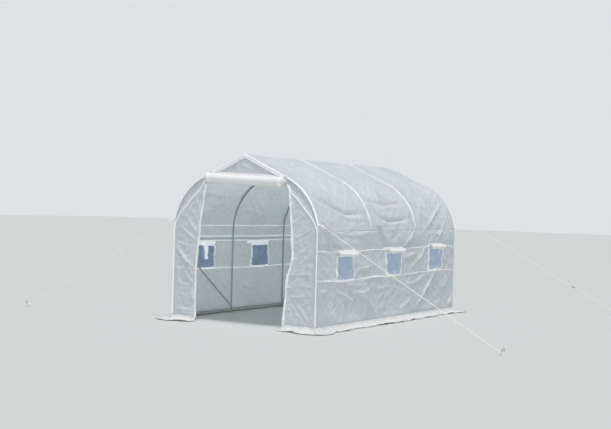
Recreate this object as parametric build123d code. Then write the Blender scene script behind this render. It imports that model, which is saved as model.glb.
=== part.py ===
from build123d import *
import math
import os

# A walk-in garden polytunnel: four steel tube arches with straight rafters and
# bent shoulders, plugged together with ridge, side and base rails and braced in
# the end bays. A woven sheet covers it, with six screened windows under rolled
# flaps, a rolled-up zip door in the front end, a ground skirt all round and four
# guy ropes to pegs. X runs across, the door faces -Y and Z is up. The origin is on
# the ground, under the middle of the tunnel and its guy ropes together.

# Driving dimensions, in millimetres and degrees

# Tunnel
tunnel_length = 3500.0
tunnel_width = 2000.0
ridge_height = 1935.0
roof_pitch = 24.0
bow_radius = 700.0
arch_names = ("front", "second", "third", "rear")

# Steel tubes
tube_diameter = 19.0
rail_diameter = 16.0
brace_diameter = 16.0
tube_wall = 0.8
plug_gap = 0.3
plug_length = 45.0
joint_gap = 1.0
bow_straight = 8.0
side_rail_drop = 86.5
base_rail_height = 45.0
ridge_elbow = 45.0
foot_thickness = 3.0

# Diagonal braces
brace_below_joint = 43.0
brace_foot_height = 65.0
brace_tab_length = 42.0
brace_tab_thickness = 4.0
brace_neck_length = 25.0
screw_diameter = 6.0
screw_head_diameter = 11.0
screw_head_height = 4.0
screw_length = 11.0
screw_gap = 0.25

# Cover
cover_gap = 0.3
sheet_thickness = 2.0
skirt_bend = 60.0
skirt_reach = 200.0
binding_width = 28.0
binding_thickness = 1.5

# Door
door_side_panel = 400.0
door_head_drop = 335.0
roll_diameter = 98.0
roll_inset = 70.0
roll_aside = 55.0
roll_drop = 5.0
roll_turn_thickness = 5.0
roll_turn_gap = 3.0
roll_turns = 4
zip_width = 30.0
door_tie_width = 25.0
door_tie_count = 2
door_tie_inset = 45.0

# Windows
window_width = 400.0
window_height = 280.0
window_head_drop = 168.5
window_binding = 18.0
screen_thickness = 1.0
flap_roll_diameter = 54.0
flap_roll_overhang = 35.0
flap_roll_lift = 17.0
flap_roll_gap = 0.6
tie_width = 16.0
tie_thickness = 1.0
tie_tail = 80.0
tie_spacing = 300.0

# Guy ropes
rope_diameter = 6.0
front_guy_rise = 155.0
rear_guy_rise = 300.0
front_peg_out = 2200.0
front_peg_along = 200.0
rear_peg_out = 1900.0
rear_peg_along = 1350.0
tab_length = 52.0
tab_width = 26.0
tab_thickness = 2.5
tab_eye_radius = 6.5
tab_eye_inset = 12.0
rope_loop_radius = 12.0
peg_diameter = 6.0
peg_height = 60.0
peg_lean = 20.0
peg_hook_radius = 10.0
peg_tip = 12.0
rope_peg_height = 22.0

# Sizes worked out from the driving dimensions
tube_radius = tube_diameter / 2
half_span = tunnel_width / 2 - tube_radius
bay_count = len(arch_names) - 1
arch_spacing = (tunnel_length - tube_diameter) / bay_count
arch_places = [n * arch_spacing for n in range(bay_count + 1)]
last_arch = arch_places[-1]
pitch = math.radians(roof_pitch)
sheet_inside = tube_radius + cover_gap
sheet_outside = sheet_inside + sheet_thickness
bow_centre_x = half_span - bow_radius
rafter_foot_x = bow_centre_x + bow_radius * math.sin(pitch)
apex_height = ridge_height - sheet_outside / math.cos(pitch)
rafter_foot_z = apex_height - rafter_foot_x * math.tan(pitch)
spring_height = rafter_foot_z - bow_radius * math.cos(pitch)
leg_top = spring_height - bow_straight
side_rail_height = spring_height - side_rail_drop
brace_top_height = leg_top - plug_length - brace_below_joint
door_width = tunnel_width - 2 * door_side_panel
door_height = ridge_height - door_head_drop
roll_length = door_width - roll_inset
window_sill = spring_height - window_head_drop - window_height
flap_roll_length = window_width + 2 * flap_roll_overhang
wall_foot = skirt_bend + sheet_thickness
wall_outside = half_span + sheet_outside
front_outside = -sheet_outside
rear_outside = last_arch + sheet_outside
flap_roll_z = window_sill + window_height + flap_roll_lift
flap_roll_x = wall_outside + flap_roll_gap + tie_thickness + cover_gap + flap_roll_diameter / 2
door_roll_z = door_height - roll_drop + roll_diameter / 2
door_roll_y = front_outside - 2 * (cover_gap + binding_thickness) - roll_diameter / 2
window_places = [(n + 0.5) * arch_spacing for n in range(bay_count)]


# Small helpers


def section_plane(y):
    """The XZ plane at a place along the tunnel, facing the front."""
    return Plane(origin=(0, y, 0), x_dir=(1, 0, 0), z_dir=(0, -1, 0))


def along(face, y_from, y_to):
    """A solid with an XZ section, running from one place along the tunnel to another."""
    return extrude(section_plane(y_from) * face, amount=y_to - y_from, dir=(0, 1, 0))


def rod(start, end, radius):
    """A round bar between two points."""
    start, end = Vector(*start), Vector(*end)
    way = end - start
    return extrude(Plane(origin=start, z_dir=way) * Circle(radius), amount=way.length)


def tube(start, end, diameter):
    """A steel tube between two points."""
    return rod(start, end, diameter / 2) - rod(start, end, diameter / 2 - tube_wall)


def plug_radius(diameter):
    """The radius of a swaged end or stub that slides into a tube."""
    return diameter / 2 - tube_wall - plug_gap


def mirrored(solid):
    """The same piece on the other side of the tunnel."""
    return mirror(solid, about=Plane.YZ)


def both_sides(solids):
    """Right-hand solids with their left-hand copies."""
    return solids + [mirrored(s) for s in solids]


def spring_point(offset):
    """Where the bow starts, at an offset outside the tube's centreline."""
    return (half_span + offset, spring_height)


def bow_middle(offset):
    """The middle of the bow's arc."""
    half_turn = (math.pi / 2 - pitch) / 2
    reach = bow_radius + offset
    return (bow_centre_x + reach * math.cos(half_turn), spring_height + reach * math.sin(half_turn))


def rafter_foot(offset):
    """Where the bow meets the straight rafter."""
    reach = bow_radius + offset
    return (bow_centre_x + reach * math.sin(pitch), spring_height + reach * math.cos(pitch))


def apex(offset):
    """The top of the arch."""
    return (0, apex_height + offset / math.cos(pitch))


def arch_outline(offset, low):
    """The closed XZ face inside an arch, from a height upwards."""
    x, z = spring_point(offset)
    edges = [
        Line((-x, low), (x, low)),
        Line((x, low), (x, z)),
        ThreePointArc((x, z), bow_middle(offset), rafter_foot(offset)),
        Line(rafter_foot(offset), apex(offset)),
    ]
    edges += [
        Line(apex(offset), (-rafter_foot(offset)[0], rafter_foot(offset)[1])),
        ThreePointArc(
            (-rafter_foot(offset)[0], rafter_foot(offset)[1]),
            (-bow_middle(offset)[0], bow_middle(offset)[1]),
            (-x, z),
        ),
        Line((-x, z), (-x, low)),
    ]
    return make_face(edges)


# Arches


def arch_leg(place):
    """A right leg, with stubs welded on for the rails and holes for the brace screws."""
    x = half_span
    leg = rod((x, place, foot_thickness), (x, place, leg_top), tube_radius)
    stub = plug_radius(rail_diameter)
    ways = [step for step in (-1, 1) if 0 <= place + step * arch_spacing <= last_arch + 1]
    for way in ways:
        reach = place + way * (tube_radius + joint_gap + plug_length)
        for height in (side_rail_height, base_rail_height):
            leg += rod((x, place, height), (x, reach, height), stub)
    if place == last_arch:
        reach = x - tube_radius - joint_gap - plug_length
        leg += rod((x, place, base_rail_height), (reach, place, base_rail_height), stub)
    leg -= rod((x, place, foot_thickness), (x, place, leg_top), tube_radius - tube_wall)
    return leg - screw_hole(place)


def screw_height(place):
    """The height at which a brace is screwed to the leg at a place."""
    return brace_top_height if place in (0, last_arch) else brace_foot_height


def screw_hole(place):
    """The hole for a brace screw, through the inner side of a right leg."""
    height = screw_height(place)
    start, end = (half_span - tube_diameter, place, height), (half_span, place, height)
    return rod(start, end, screw_diameter / 2 + screw_gap)


def arch_bow(place):
    """A right bow and rafter in one bent tube, swaged to plug into the leg below."""
    path = Wire([
        Line((half_span, leg_top), spring_point(0)).edge(),
        ThreePointArc(spring_point(0), bow_middle(0), rafter_foot(0)).edge(),
        Line(rafter_foot(0), rafter_top()).edge(),
    ])
    path = section_plane(place) * path
    start = Plane(origin=(half_span, place, leg_top), z_dir=(0, 0, 1))
    outer = sweep(start * Circle(tube_radius), path=path)
    inner = sweep(start * Circle(tube_radius - tube_wall), path=path)
    swage = plug_radius(tube_diameter)
    top, low = (half_span, place, leg_top), (half_span, place, leg_top - plug_length)
    crimp = (half_span, place, leg_top + tube_wall)
    swaged_end = rod(top, crimp, tube_radius) + rod(low, top, swage)
    return (outer - inner) + (swaged_end - rod(low, crimp, swage - tube_wall))


def rafter_top():
    """Where a rafter tube ends, beside the ridge elbow."""
    short = ridge_elbow + joint_gap
    return (short * math.cos(pitch), apex_height - short * math.sin(pitch))


def ridge_elbow_at(place):
    """The bent elbow at the top of an arch, with spigots into the rafters and ridge rails."""
    reach = ridge_elbow + plug_length
    spigot = plug_radius(tube_diameter)
    peak = (0, place, apex_height)

    def down(distance, side):
        return (side * distance * math.cos(pitch), place, apex_height - distance * math.sin(pitch))

    elbow = Sphere(tube_radius).moved(Location(peak))
    for side in (-1, 1):
        elbow += rod(peak, down(ridge_elbow, side), tube_radius)
        elbow += rod(peak, down(reach, side), spigot)
    for way in (-1, 1):
        if 0 <= place + way * arch_spacing <= last_arch + 1:
            end = (0, place + way * (tube_radius + joint_gap + plug_length), apex_height)
            elbow += rod(peak, end, plug_radius(rail_diameter))
    return elbow


def foot_cap(place):
    """The plastic cap that a right leg stands on."""
    x = half_span
    cap = rod((x, place, 0), (x, place, foot_thickness), tube_radius)
    return cap + rod((x, place, 0), (x, place, foot_thickness + tube_diameter), plug_radius(tube_diameter))


# Rails and braces


def rails(x, height):
    """One rail tube in each bay, from stub to stub."""
    clear = tube_radius + joint_gap
    return [
        tube((x, place + clear, height), (x, place + arch_spacing - clear, height), rail_diameter)
        for place in arch_places[:-1]
    ]


def rear_base_rail():
    """The rail along the ground between the rear legs."""
    clear = half_span - tube_radius - joint_gap
    return tube((-clear, last_arch, base_rail_height), (clear, last_arch, base_rail_height), rail_diameter)


def brace_ends(front):
    """The upper and lower screw places of a right-hand brace, in YZ."""
    top_place, foot_place = (0, arch_spacing) if front else (last_arch, last_arch - arch_spacing)
    return (top_place, brace_top_height), (foot_place, brace_foot_height)


def tab_plane_x():
    """The face of a leg that the flattened brace ends lie on."""
    return half_span - tube_radius - cover_gap


def brace(front):
    """A diagonal tube with flattened ends, screwed to the inside of two right legs."""
    (y_top, z_top), (y_foot, z_foot) = brace_ends(front)
    inside = tab_plane_x() - brace_diameter / 2
    top, foot = Vector(inside, y_top, z_top), Vector(inside, y_foot, z_foot)
    way = (foot - top).normalized()
    tube_top, tube_foot = top + way * brace_tab_length, foot - way * brace_tab_length
    bar = rod(tuple(tube_top), tuple(tube_foot), brace_diameter / 2)
    across = Vector(1, 0, 0).cross(way)
    for end, to in ((top, way), (foot, way * -1)):
        tab_x = tab_plane_x() - brace_tab_thickness / 2
        start = Plane(origin=(tab_x, end.Y, end.Z), x_dir=across, z_dir=to)
        flat = Rectangle(brace_diameter, brace_tab_thickness)
        tab = extrude(start * flat, amount=brace_tab_length)
        face = tab_plane_x()
        tab += rod((face - brace_tab_thickness, end.Y, end.Z), (face, end.Y, end.Z), brace_diameter / 2)
        tab_end = Plane(origin=Vector(tab_x, end.Y, end.Z) + to * brace_tab_length, x_dir=across, z_dir=to)
        neck_end = Plane(origin=end + to * (brace_tab_length + brace_neck_length), x_dir=across, z_dir=to)
        neck = loft([tab_end * flat, neck_end * Circle(brace_diameter / 2)])
        round_end = neck_end * Rectangle(2 * brace_diameter, 2 * brace_diameter)
        bar = bar - extrude(round_end, amount=-brace_tab_length) + tab + neck
        hole_from, hole_to = (inside - brace_diameter, end.Y, end.Z), (half_span, end.Y, end.Z)
        bar -= rod(hole_from, hole_to, screw_diameter / 2 + screw_gap)
    return bar


def brace_screw(place):
    """A screw through a brace end into the right leg at a place."""
    height = screw_height(place)
    seat = tab_plane_x() - brace_tab_thickness
    head = seat - screw_head_height
    screw = rod((head, place, height), (seat, place, height), screw_head_diameter / 2)
    return screw + rod((head, place, height), (seat + screw_length, place, height), screw_diameter / 2)


# Cover sheets


def window_cut(place, x_from, x_to, grow=0.0):
    """The block that a window takes out of the wall."""
    width, height = window_width + 2 * grow, window_height + 2 * grow
    middle = ((x_from + x_to) / 2, place, window_sill + window_height / 2)
    return Pos(*middle) * Box(x_to - x_from, width, height)


def wall_sheet():
    """The upright sheet of the right wall, with its window holes."""
    x = half_span + sheet_inside
    face = make_face(Polyline((x, wall_foot), (x + sheet_thickness, wall_foot),
                              (x + sheet_thickness, spring_height), (x, spring_height), close=True))
    sheet = along(face, front_outside, rear_outside)
    for place in window_places:
        sheet -= window_cut(place, x - sheet_thickness, x + 2 * sheet_thickness)
    return sheet


def shoulder_sheet():
    """The curved sheet over the right bows."""
    inner, outer = sheet_inside, sheet_outside
    face = make_face([
        ThreePointArc(spring_point(inner), bow_middle(inner), rafter_foot(inner)),
        Line(rafter_foot(inner), rafter_foot(outer)),
        ThreePointArc(rafter_foot(outer), bow_middle(outer), spring_point(outer)),
        Line(spring_point(outer), spring_point(inner)),
    ])
    return along(face, front_outside, rear_outside)


def slope_sheet():
    """The flat sheet over the right rafters, up to the ridge."""
    inner, outer = sheet_inside, sheet_outside
    face = make_face(Polyline(rafter_foot(inner), apex(inner), apex(outer), rafter_foot(outer), close=True))
    return along(face, front_outside, rear_outside)


def end_sheet():
    """The outline of an end wall, just inside the roof sheet."""
    return arch_outline(tube_radius, wall_foot)


def front_sheets():
    """The left panel, the right panel and the gable over the door."""
    whole = along(end_sheet(), front_outside, front_outside + sheet_thickness)
    deep = 4 * sheet_thickness
    side = tunnel_width / 2
    high = ridge_height
    middle_y = front_outside

    def keep(x_from, x_to, z_from, z_to):
        block = Box(x_to - x_from, deep, z_to - z_from)
        return whole & (Pos((x_from + x_to) / 2, middle_y, (z_from + z_to) / 2) * block)

    right = keep(door_width / 2, side, 0, door_height)
    gable = keep(-side, side, door_height, high)
    return mirrored(right), right, gable


def rear_sheet():
    """The plain rear wall."""
    return along(end_sheet(), rear_outside - sheet_thickness, rear_outside)


def edge_binding(y_from, y_to):
    """The sewn band along the edge of an end wall."""
    band = arch_outline(tube_radius, wall_foot) - arch_outline(tube_radius - binding_width, wall_foot)
    return along(band, y_from, y_to)


# Ground skirt


def skirt_section():
    """A sheet that comes down a wall at x = 0, bends outwards and lies on the ground."""
    bend, thick = skirt_bend, sheet_thickness
    turn = math.radians(45)
    centre = (bend, wall_foot)

    def on_bend(radius, angle):
        return (centre[0] - radius * math.cos(angle), centre[1] - radius * math.sin(angle))

    return make_face([
        ThreePointArc((0, wall_foot), on_bend(bend, turn), (bend, thick)),
        Line((bend, thick), (skirt_reach, thick)),
        Line((skirt_reach, thick), (skirt_reach, 0)),
        Line((skirt_reach, 0), (bend, 0)),
        ThreePointArc((bend, 0), on_bend(bend + thick, turn), (-thick, wall_foot)),
        Line((-thick, wall_foot), (0, wall_foot)),
    ])


def skirt(corner_from, corner_to, outward, mitres=(True, True)):
    """A skirt between two corners of the wall, mitred where it meets the next one."""
    start, end = Vector(*corner_from), Vector(*corner_to)
    out = Vector(*outward)
    way = (end - start).normalized()
    plane_z = out.cross(Vector(0, 0, 1)) * -1
    forward = 1 if plane_z.dot(way) > 0 else -1
    extra_start = skirt_reach if mitres[0] else 0.0
    extra_end = skirt_reach if mitres[1] else 0.0
    first = start - way * extra_start
    section = Plane(origin=first, x_dir=out, z_dir=out.cross(Vector(0, 0, 1)))
    length = (end - start).length + extra_start + extra_end
    strip = extrude(section * skirt_section(), amount=length, dir=tuple(way))
    if mitres[0]:
        strip = split(strip, bisect_by=Plane(origin=start, z_dir=way + out), keep=Keep.TOP)
    if mitres[1]:
        strip = split(strip, bisect_by=Plane(origin=end, z_dir=way * -1 + out), keep=Keep.TOP)
    return strip


# Door roll and zips


def door_roll():
    """The door sheet rolled up over the doorway, wound in a spiral."""
    half = roll_length / 2
    middle = Pos(roll_aside, door_roll_y, door_roll_z)
    roll = middle * Rot(0, 90, 0) * Cylinder(roll_diameter / 2, roll_length)
    pitch_per_turn = roll_turn_thickness + roll_turn_gap
    for end in (-1, 1):
        for turn in range(1, roll_turns + 1):
            outer = roll_diameter / 2 - turn * pitch_per_turn
            ring = Circle(outer + roll_turn_gap) - Circle(outer)
            plane = Plane(origin=(roll_aside + end * half, door_roll_y, door_roll_z), z_dir=(-end, 0, 0))
            roll -= extrude(plane * ring, amount=door_tie_width)
    return roll


def door_ties():
    """Straps round the door roll."""
    inner = roll_diameter / 2 + cover_gap
    reach = roll_length / 2 - door_tie_inset
    step = 2 * reach / (door_tie_count - 1)
    strap = Circle(inner + binding_thickness) - Circle(inner)
    ties = []
    for n in range(door_tie_count):
        x = roll_aside - reach + n * step - door_tie_width / 2
        plane = Plane(origin=(x, door_roll_y, door_roll_z), z_dir=(1, 0, 0))
        ties.append(extrude(plane * strap, amount=door_tie_width))
    return ties


def door_zip():
    """The zip tape down the right side of the doorway, which ends where it meets the sewn band."""
    x = door_width / 2
    y = front_outside - binding_thickness
    width, height = zip_width, door_height - wall_foot
    middle = (x + width / 2, y + binding_thickness / 2, wall_foot + height / 2)
    return Pos(*middle) * Box(width, binding_thickness, height) - edge_binding(y, front_outside)


# Windows


def window_screen(place):
    """The insect screen that fills a window."""
    x = half_span + sheet_inside + sheet_thickness / 2 - screen_thickness / 2
    return window_cut(place, x, x + screen_thickness)


def window_frame(place):
    """The sewn binding round a window, on the outside of the wall."""
    inner = window_cut(place, wall_outside - sheet_thickness, wall_outside + 2 * sheet_thickness,
                       grow=-window_binding / 2)
    return window_cut(place, wall_outside, wall_outside + binding_thickness, grow=window_binding / 2) - inner


def flap_roll(place):
    """A window's flap, rolled up above it."""
    middle = Pos(flap_roll_x, place, flap_roll_z)
    return middle * Rot(90, 0, 0) * Cylinder(flap_roll_diameter / 2, flap_roll_length)


def flap_tie(place):
    """A strap round a flap roll, with its tail hanging down."""
    inner = flap_roll_diameter / 2 + cover_gap
    plane = Plane(origin=(flap_roll_x, place - tie_width / 2, flap_roll_z), z_dir=(0, 1, 0))
    ring = extrude(plane * (Circle(inner + tie_thickness) - Circle(inner)), amount=tie_width)
    tail_x = flap_roll_x + inner
    tail = Pos(tail_x + tie_thickness / 2, place, flap_roll_z - tie_tail / 2) * Box(
        tie_thickness, tie_width, tie_tail
    )
    return ring + tail


def flap_ties():
    """Two straps for each right-hand window."""
    return [flap_tie(place + side * tie_spacing / 2) for place in window_places for side in (-1, 1)]


# Guy ropes


def guy_anchor(front):
    """Where a right-hand guy rope leaves the cover, and where its peg enters the ground."""
    place = 0 if front else last_arch
    rise = front_guy_rise if front else rear_guy_rise
    reach = bow_radius + sheet_outside
    x = bow_centre_x + math.sqrt(reach ** 2 - rise ** 2)
    out, step = (front_peg_out, -front_peg_along) if front else (rear_peg_out, rear_peg_along)
    return Vector(x, place, spring_height + rise), Vector(x + out, place + step, 0)


def peg_axis(front):
    """The foot of a right-hand peg and the way its stem points."""
    start, foot = guy_anchor(front)
    level = Vector(foot.X - start.X, foot.Y - start.Y, 0).normalized()
    lean = math.radians(peg_lean)
    return foot, level, level * math.sin(lean) + Vector(0, 0, math.cos(lean))


def rope_hold(front):
    """The middle of the rope's loop round the peg."""
    foot, _, stem = peg_axis(front)
    return foot + stem * (rope_peg_height / stem.Z)


def rope_way(front):
    """The direction of a right-hand guy rope, from the cover down to its peg."""
    start, _ = guy_anchor(front)
    return (rope_hold(front) - start).normalized()


def tab_frame(front):
    """The plane of a webbing tab: its x runs across the tab and its z along the rope."""
    start, _ = guy_anchor(front)
    way = rope_way(front)
    across = Vector(0, 0, 1).cross(way).normalized()
    return Plane(origin=start, x_dir=across, z_dir=way)


def guy_tab(front):
    """The webbing tab sewn to the cover, with an eye for the rope."""
    frame = tab_frame(front)
    rounded = tab_width / 2
    reach = tab_length - rounded
    strip = extrude(frame * Rectangle(tab_width, tab_thickness), amount=reach)
    strip += extrude(frame * Rectangle(tab_width, tab_thickness), amount=-tab_length)
    flat = Plane(origin=frame.origin + frame.z_dir * reach, x_dir=frame.x_dir, z_dir=frame.y_dir)
    strip += extrude(flat * Circle(rounded), amount=tab_thickness / 2, both=True)
    eye = Plane(origin=tab_eye(front), x_dir=frame.x_dir, z_dir=frame.y_dir)
    strip -= extrude(eye * Circle(tab_eye_radius), amount=tab_thickness, both=True)
    hollow = along(arch_outline(sheet_outside + cover_gap, wall_foot), -tunnel_length, 2 * tunnel_length)
    return strip - hollow


def tab_eye(front):
    """The middle of the eye in a tab."""
    frame = tab_frame(front)
    return frame.origin + frame.z_dir * (tab_length - tab_eye_inset)


def ring_solid(plane, ring_radius, bar_radius):
    """A round ring whose axis is the plane's z."""
    return plane * Torus(ring_radius, bar_radius)


def guy_rope(front):
    """A taut rope with a loop through the tab's eye and a loop round the peg."""
    frame = tab_frame(front)
    bar = rope_diameter / 2
    slack = tab_eye_radius - bar - cover_gap
    loop_middle = tab_eye(front) + frame.z_dir * (rope_loop_radius + slack)
    top_loop = ring_solid(Plane(origin=loop_middle, z_dir=frame.x_dir), rope_loop_radius, bar)
    hold = rope_hold(front)
    _, _, stem = peg_axis(front)
    turn = peg_diameter / 2 + cover_gap + bar
    bottom_loop = ring_solid(Plane(origin=hold, z_dir=stem), turn, bar)
    line_from = loop_middle + frame.z_dir * rope_loop_radius
    line_to = hold - frame.z_dir * turn
    return rod(tuple(line_from), tuple(line_to), bar) + top_loop + bottom_loop


def guy_peg(front):
    """A steel peg from the ground up, with its hook turned away from the tunnel."""
    foot, level, stem = peg_axis(front)
    straight = peg_height / stem.Z
    top = foot + stem * straight
    side = (level - stem * level.dot(stem)).normalized()
    middle = top + side * peg_hook_radius
    crown = middle + stem * peg_hook_radius
    down = top + side * (2 * peg_hook_radius)
    path = Wire([
        Line(foot - stem * peg_diameter, top).edge(),
        ThreePointArc(top, crown, down).edge(),
        Line(down, down - stem * peg_tip).edge(),
    ])
    bar = sweep(Plane(origin=foot - stem * peg_diameter, z_dir=stem) * Circle(peg_diameter / 2), path=path)
    ground = Pos(foot.X, foot.Y, -2 * peg_diameter) * Box(peg_height, peg_height, 4 * peg_diameter)
    return bar - ground


# Assembly


def side_pieces(solids):
    """The right and left versions of like pieces, each as one list."""
    return list(solids), [mirrored(s) for s in solids]


def build_nodes():
    """Every node of the tunnel, by name, with its solids."""
    nodes = {}
    legs = [arch_leg(place) for place in arch_places]
    nodes["arch_legs_right"], nodes["arch_legs_left"] = side_pieces(legs)
    for name, place in zip(arch_names, arch_places):
        nodes[f"{name}_arch_bows"] = both_sides([arch_bow(place)])
    nodes["ridge_elbows"] = [ridge_elbow_at(place) for place in arch_places]
    nodes["foot_caps"] = both_sides([foot_cap(place) for place in arch_places])
    nodes["ridge_rail"] = rails(0, apex_height)
    nodes["side_rail_right"], nodes["side_rail_left"] = side_pieces(rails(half_span, side_rail_height))
    nodes["base_rails"] = both_sides(rails(half_span, base_rail_height)) + [rear_base_rail()]
    nodes["braces_right"], nodes["braces_left"] = side_pieces([brace(True), brace(False)])
    nodes["brace_screws"] = both_sides([brace_screw(place) for place in arch_places])

    for name, sheet in (("wall", wall_sheet()), ("shoulder", shoulder_sheet()), ("slope", slope_sheet())):
        nodes[f"cover_{name}_right"], nodes[f"cover_{name}_left"] = [sheet], [mirrored(sheet)]
    left, right, gable = front_sheets()
    nodes["front_panel_left"], nodes["front_panel_right"] = [left], [right]
    nodes["front_gable"] = [gable]
    nodes["rear_panel"] = [rear_sheet()]
    front_band = edge_binding(front_outside - binding_thickness, front_outside)
    rear_band = edge_binding(rear_outside, rear_outside + binding_thickness)
    nodes["end_bindings"] = [front_band, rear_band]

    nodes["door_roll"] = [door_roll()]
    nodes["door_ties"] = door_ties()
    nodes["door_zips"] = both_sides([door_zip()])

    for name, make in (("screens", window_screen), ("frames", window_frame), ("flaps", flap_roll)):
        pieces = [make(place) for place in window_places]
        nodes[f"window_{name}_right"], nodes[f"window_{name}_left"] = side_pieces(pieces)
    nodes["flap_ties"] = both_sides(flap_ties())

    corner_fr, corner_rr = (wall_outside, front_outside, 0), (wall_outside, rear_outside, 0)
    corner_rl = (-wall_outside, rear_outside, 0)
    side_skirt = skirt(corner_fr, corner_rr, (1, 0, 0))
    nodes["skirt_right"], nodes["skirt_left"] = [side_skirt], [mirrored(side_skirt)]
    nodes["skirt_rear"] = [skirt(corner_rl, corner_rr, (0, 1, 0))]
    front_skirt = skirt((door_width / 2, front_outside, 0), corner_fr, (0, -1, 0), mitres=(False, True))
    nodes["skirt_front"] = both_sides([front_skirt])

    nodes["guy_ropes_front"] = both_sides([guy_rope(True)])
    nodes["guy_ropes_rear"] = both_sides([guy_rope(False)])
    nodes["guy_tabs"] = both_sides([guy_tab(True), guy_tab(False)])
    nodes["guy_pegs"] = both_sides([guy_peg(True), guy_peg(False)])
    return nodes


def middle_along(nodes):
    """The middle of everything along the tunnel, where the origin goes."""
    boxes = [solid.bounding_box() for solids in nodes.values() for solid in solids]
    return (min(box.min.Y for box in boxes) + max(box.max.Y for box in boxes)) / 2


nodes = build_nodes()
origin_along = middle_along(nodes)
os.makedirs("parts", exist_ok=True)
for node_name, node_solids in nodes.items():
    placed = [Pos(0, -origin_along, 0) * solid for solid in node_solids]
    export_step(Compound(children=placed), f"parts/{node_name}.step")
print("origin", round(origin_along, 3), "mm behind the front arch; nodes", len(nodes))
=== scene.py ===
"""Finishes of the garden polytunnel: its cover sheets, rolls, screens, skirt and ropes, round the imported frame.

Everything is in metres. X runs across the tunnel, the doorway faces -Y and Z is up. Sizes come from the boxes of
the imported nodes, so a piece lies where the node that it stands for lies.
"""
import logging
import math
from dataclasses import dataclass
from enum import Enum
from functools import cached_property
from typing import Sequence

import bmesh
import bpy
import numpy as np
from mathutils import Matrix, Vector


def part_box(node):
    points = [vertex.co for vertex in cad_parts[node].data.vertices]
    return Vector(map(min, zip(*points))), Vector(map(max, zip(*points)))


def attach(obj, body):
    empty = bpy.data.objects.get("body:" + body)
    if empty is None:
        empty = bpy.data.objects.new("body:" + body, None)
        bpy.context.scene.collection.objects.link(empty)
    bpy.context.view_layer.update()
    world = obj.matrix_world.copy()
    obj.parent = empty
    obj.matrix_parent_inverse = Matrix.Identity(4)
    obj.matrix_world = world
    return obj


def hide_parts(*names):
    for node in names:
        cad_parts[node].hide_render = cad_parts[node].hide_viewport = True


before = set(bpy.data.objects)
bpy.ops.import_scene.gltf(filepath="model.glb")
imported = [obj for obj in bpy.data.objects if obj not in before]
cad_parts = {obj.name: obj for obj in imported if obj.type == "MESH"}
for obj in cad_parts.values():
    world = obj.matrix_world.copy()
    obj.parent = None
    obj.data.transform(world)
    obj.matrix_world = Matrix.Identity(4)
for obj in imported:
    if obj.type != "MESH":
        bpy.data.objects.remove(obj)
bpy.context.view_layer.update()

log = logging.getLogger("polytunnel")

Array = np.ndarray
Place = tuple[float, float]
Place3 = tuple[float, float, float]
Grid = tuple[Array, Array]
Tree = bpy.types.NodeTree
Socket = bpy.types.NodeSocket

SHEET_THICKNESS = 0.0008
# Creases are painted whiter: partly strain whitening, partly a painted highlight on the crests.
CREASE_WHITENING_AND_HIGHLIGHT = 0.6
BODY = "root"
UP = np.array([0.0, 0.0, 1.0])
TURN = 2.0 * math.pi


class Named(Enum):
    """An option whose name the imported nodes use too."""

    @property
    def word(self) -> str:
        """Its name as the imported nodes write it."""
        return self.name.lower()


class Side(Named):
    """The two long sides of the tunnel, by the sign of X."""

    RIGHT = 1
    LEFT = -1


class End(Named):
    """The two ends of the tunnel, by the sign of Y that points out of them."""

    FRONT = -1
    REAR = 1


# Numbers and random fields


def smoothstep(low: float, high: float, value: Array) -> Array:
    """A rise from 0 to 1 between two values, level at both: 3t^2 - 2t^3."""
    t = np.clip((value - low) / (high - low), 0.0, 1.0)
    return t * t * (3.0 - 2.0 * t)


def bell(value: Array, middle: float, width: float) -> Array:
    """A bell curve: e to the minus square of the distance from the middle over the width."""
    return np.exp(-(((value - middle) / width) ** 2))


def together(*parts: Array) -> Array:
    """Arrays brought to one shape and put together in a last axis."""
    return np.stack(np.broadcast_arrays(*parts), axis=-1)


def unit(vectors: Array) -> Array:
    """Vectors, one to a row, at a length of 1."""
    return vectors / np.linalg.norm(vectors, axis=-1, keepdims=True)


def distances(path: Array) -> Array:
    """How far along a path each of its places is."""
    return np.concatenate([[0.0], np.cumsum(np.linalg.norm(np.diff(path, axis=0), axis=1))])


def circle(first: Array, second: Array, turn: Array) -> Array:
    """Places on a circle, at angles from its first direction to its second."""
    return first * np.cos(turn)[..., None] + second * np.sin(turn)[..., None]


def curve_through(places: Sequence[Place], value: Array, spread: float = 0.05) -> Array:
    """A smooth curve near a few places: straight runs between them, averaged over a short way to either side.

    Args:
        places: pairs of a value and the height there.
        value: where the curve is wanted.
        spread: how far to either side the average goes.

    Returns:
        The curve's height at each value.
    """
    at, height = np.array(places).T
    shifts = spread * np.linspace(-1.0, 1.0, 13)
    return np.mean([np.interp(value + shift, at, height) for shift in shifts], axis=0)


def gradient_noise(u: Array, v: Array, seed: int) -> Array:
    """Smooth random hills of about -1 to 1, one to a unit square.

    Each lattice point has a random slope. A place takes the heights that the four slopes round it give there,
    blended by 6t^5 - 15t^4 + 10t^3 in both directions.

    Args:
        u: first coordinate.
        v: second coordinate.
        seed: the seed of the slopes.

    Returns:
        The height at each place.
    """
    size = 64
    u, v = np.broadcast_arrays(np.asarray(u, float), np.asarray(v, float))
    angle = np.random.default_rng(seed).uniform(0.0, TURN, (size, size))
    cell_u, cell_v = np.floor(u).astype(int), np.floor(v).astype(int)
    in_u, in_v = u - cell_u, v - cell_v

    def height(step_u: int, step_v: int) -> Array:
        """The height that one corner's slope gives."""
        turn = angle[(cell_u + step_u) % size, (cell_v + step_v) % size]
        return np.cos(turn) * (in_u - step_u) + np.sin(turn) * (in_v - step_v)

    blend_u = in_u**3 * (in_u * (in_u * 6 - 15) + 10)
    blend_v = in_v**3 * (in_v * (in_v * 6 - 15) + 10)
    low = height(0, 0) * (1 - blend_u) + height(1, 0) * blend_u
    high = height(0, 1) * (1 - blend_u) + height(1, 1) * blend_u
    return 1.5 * (low * (1 - blend_v) + high * blend_v)


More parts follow.
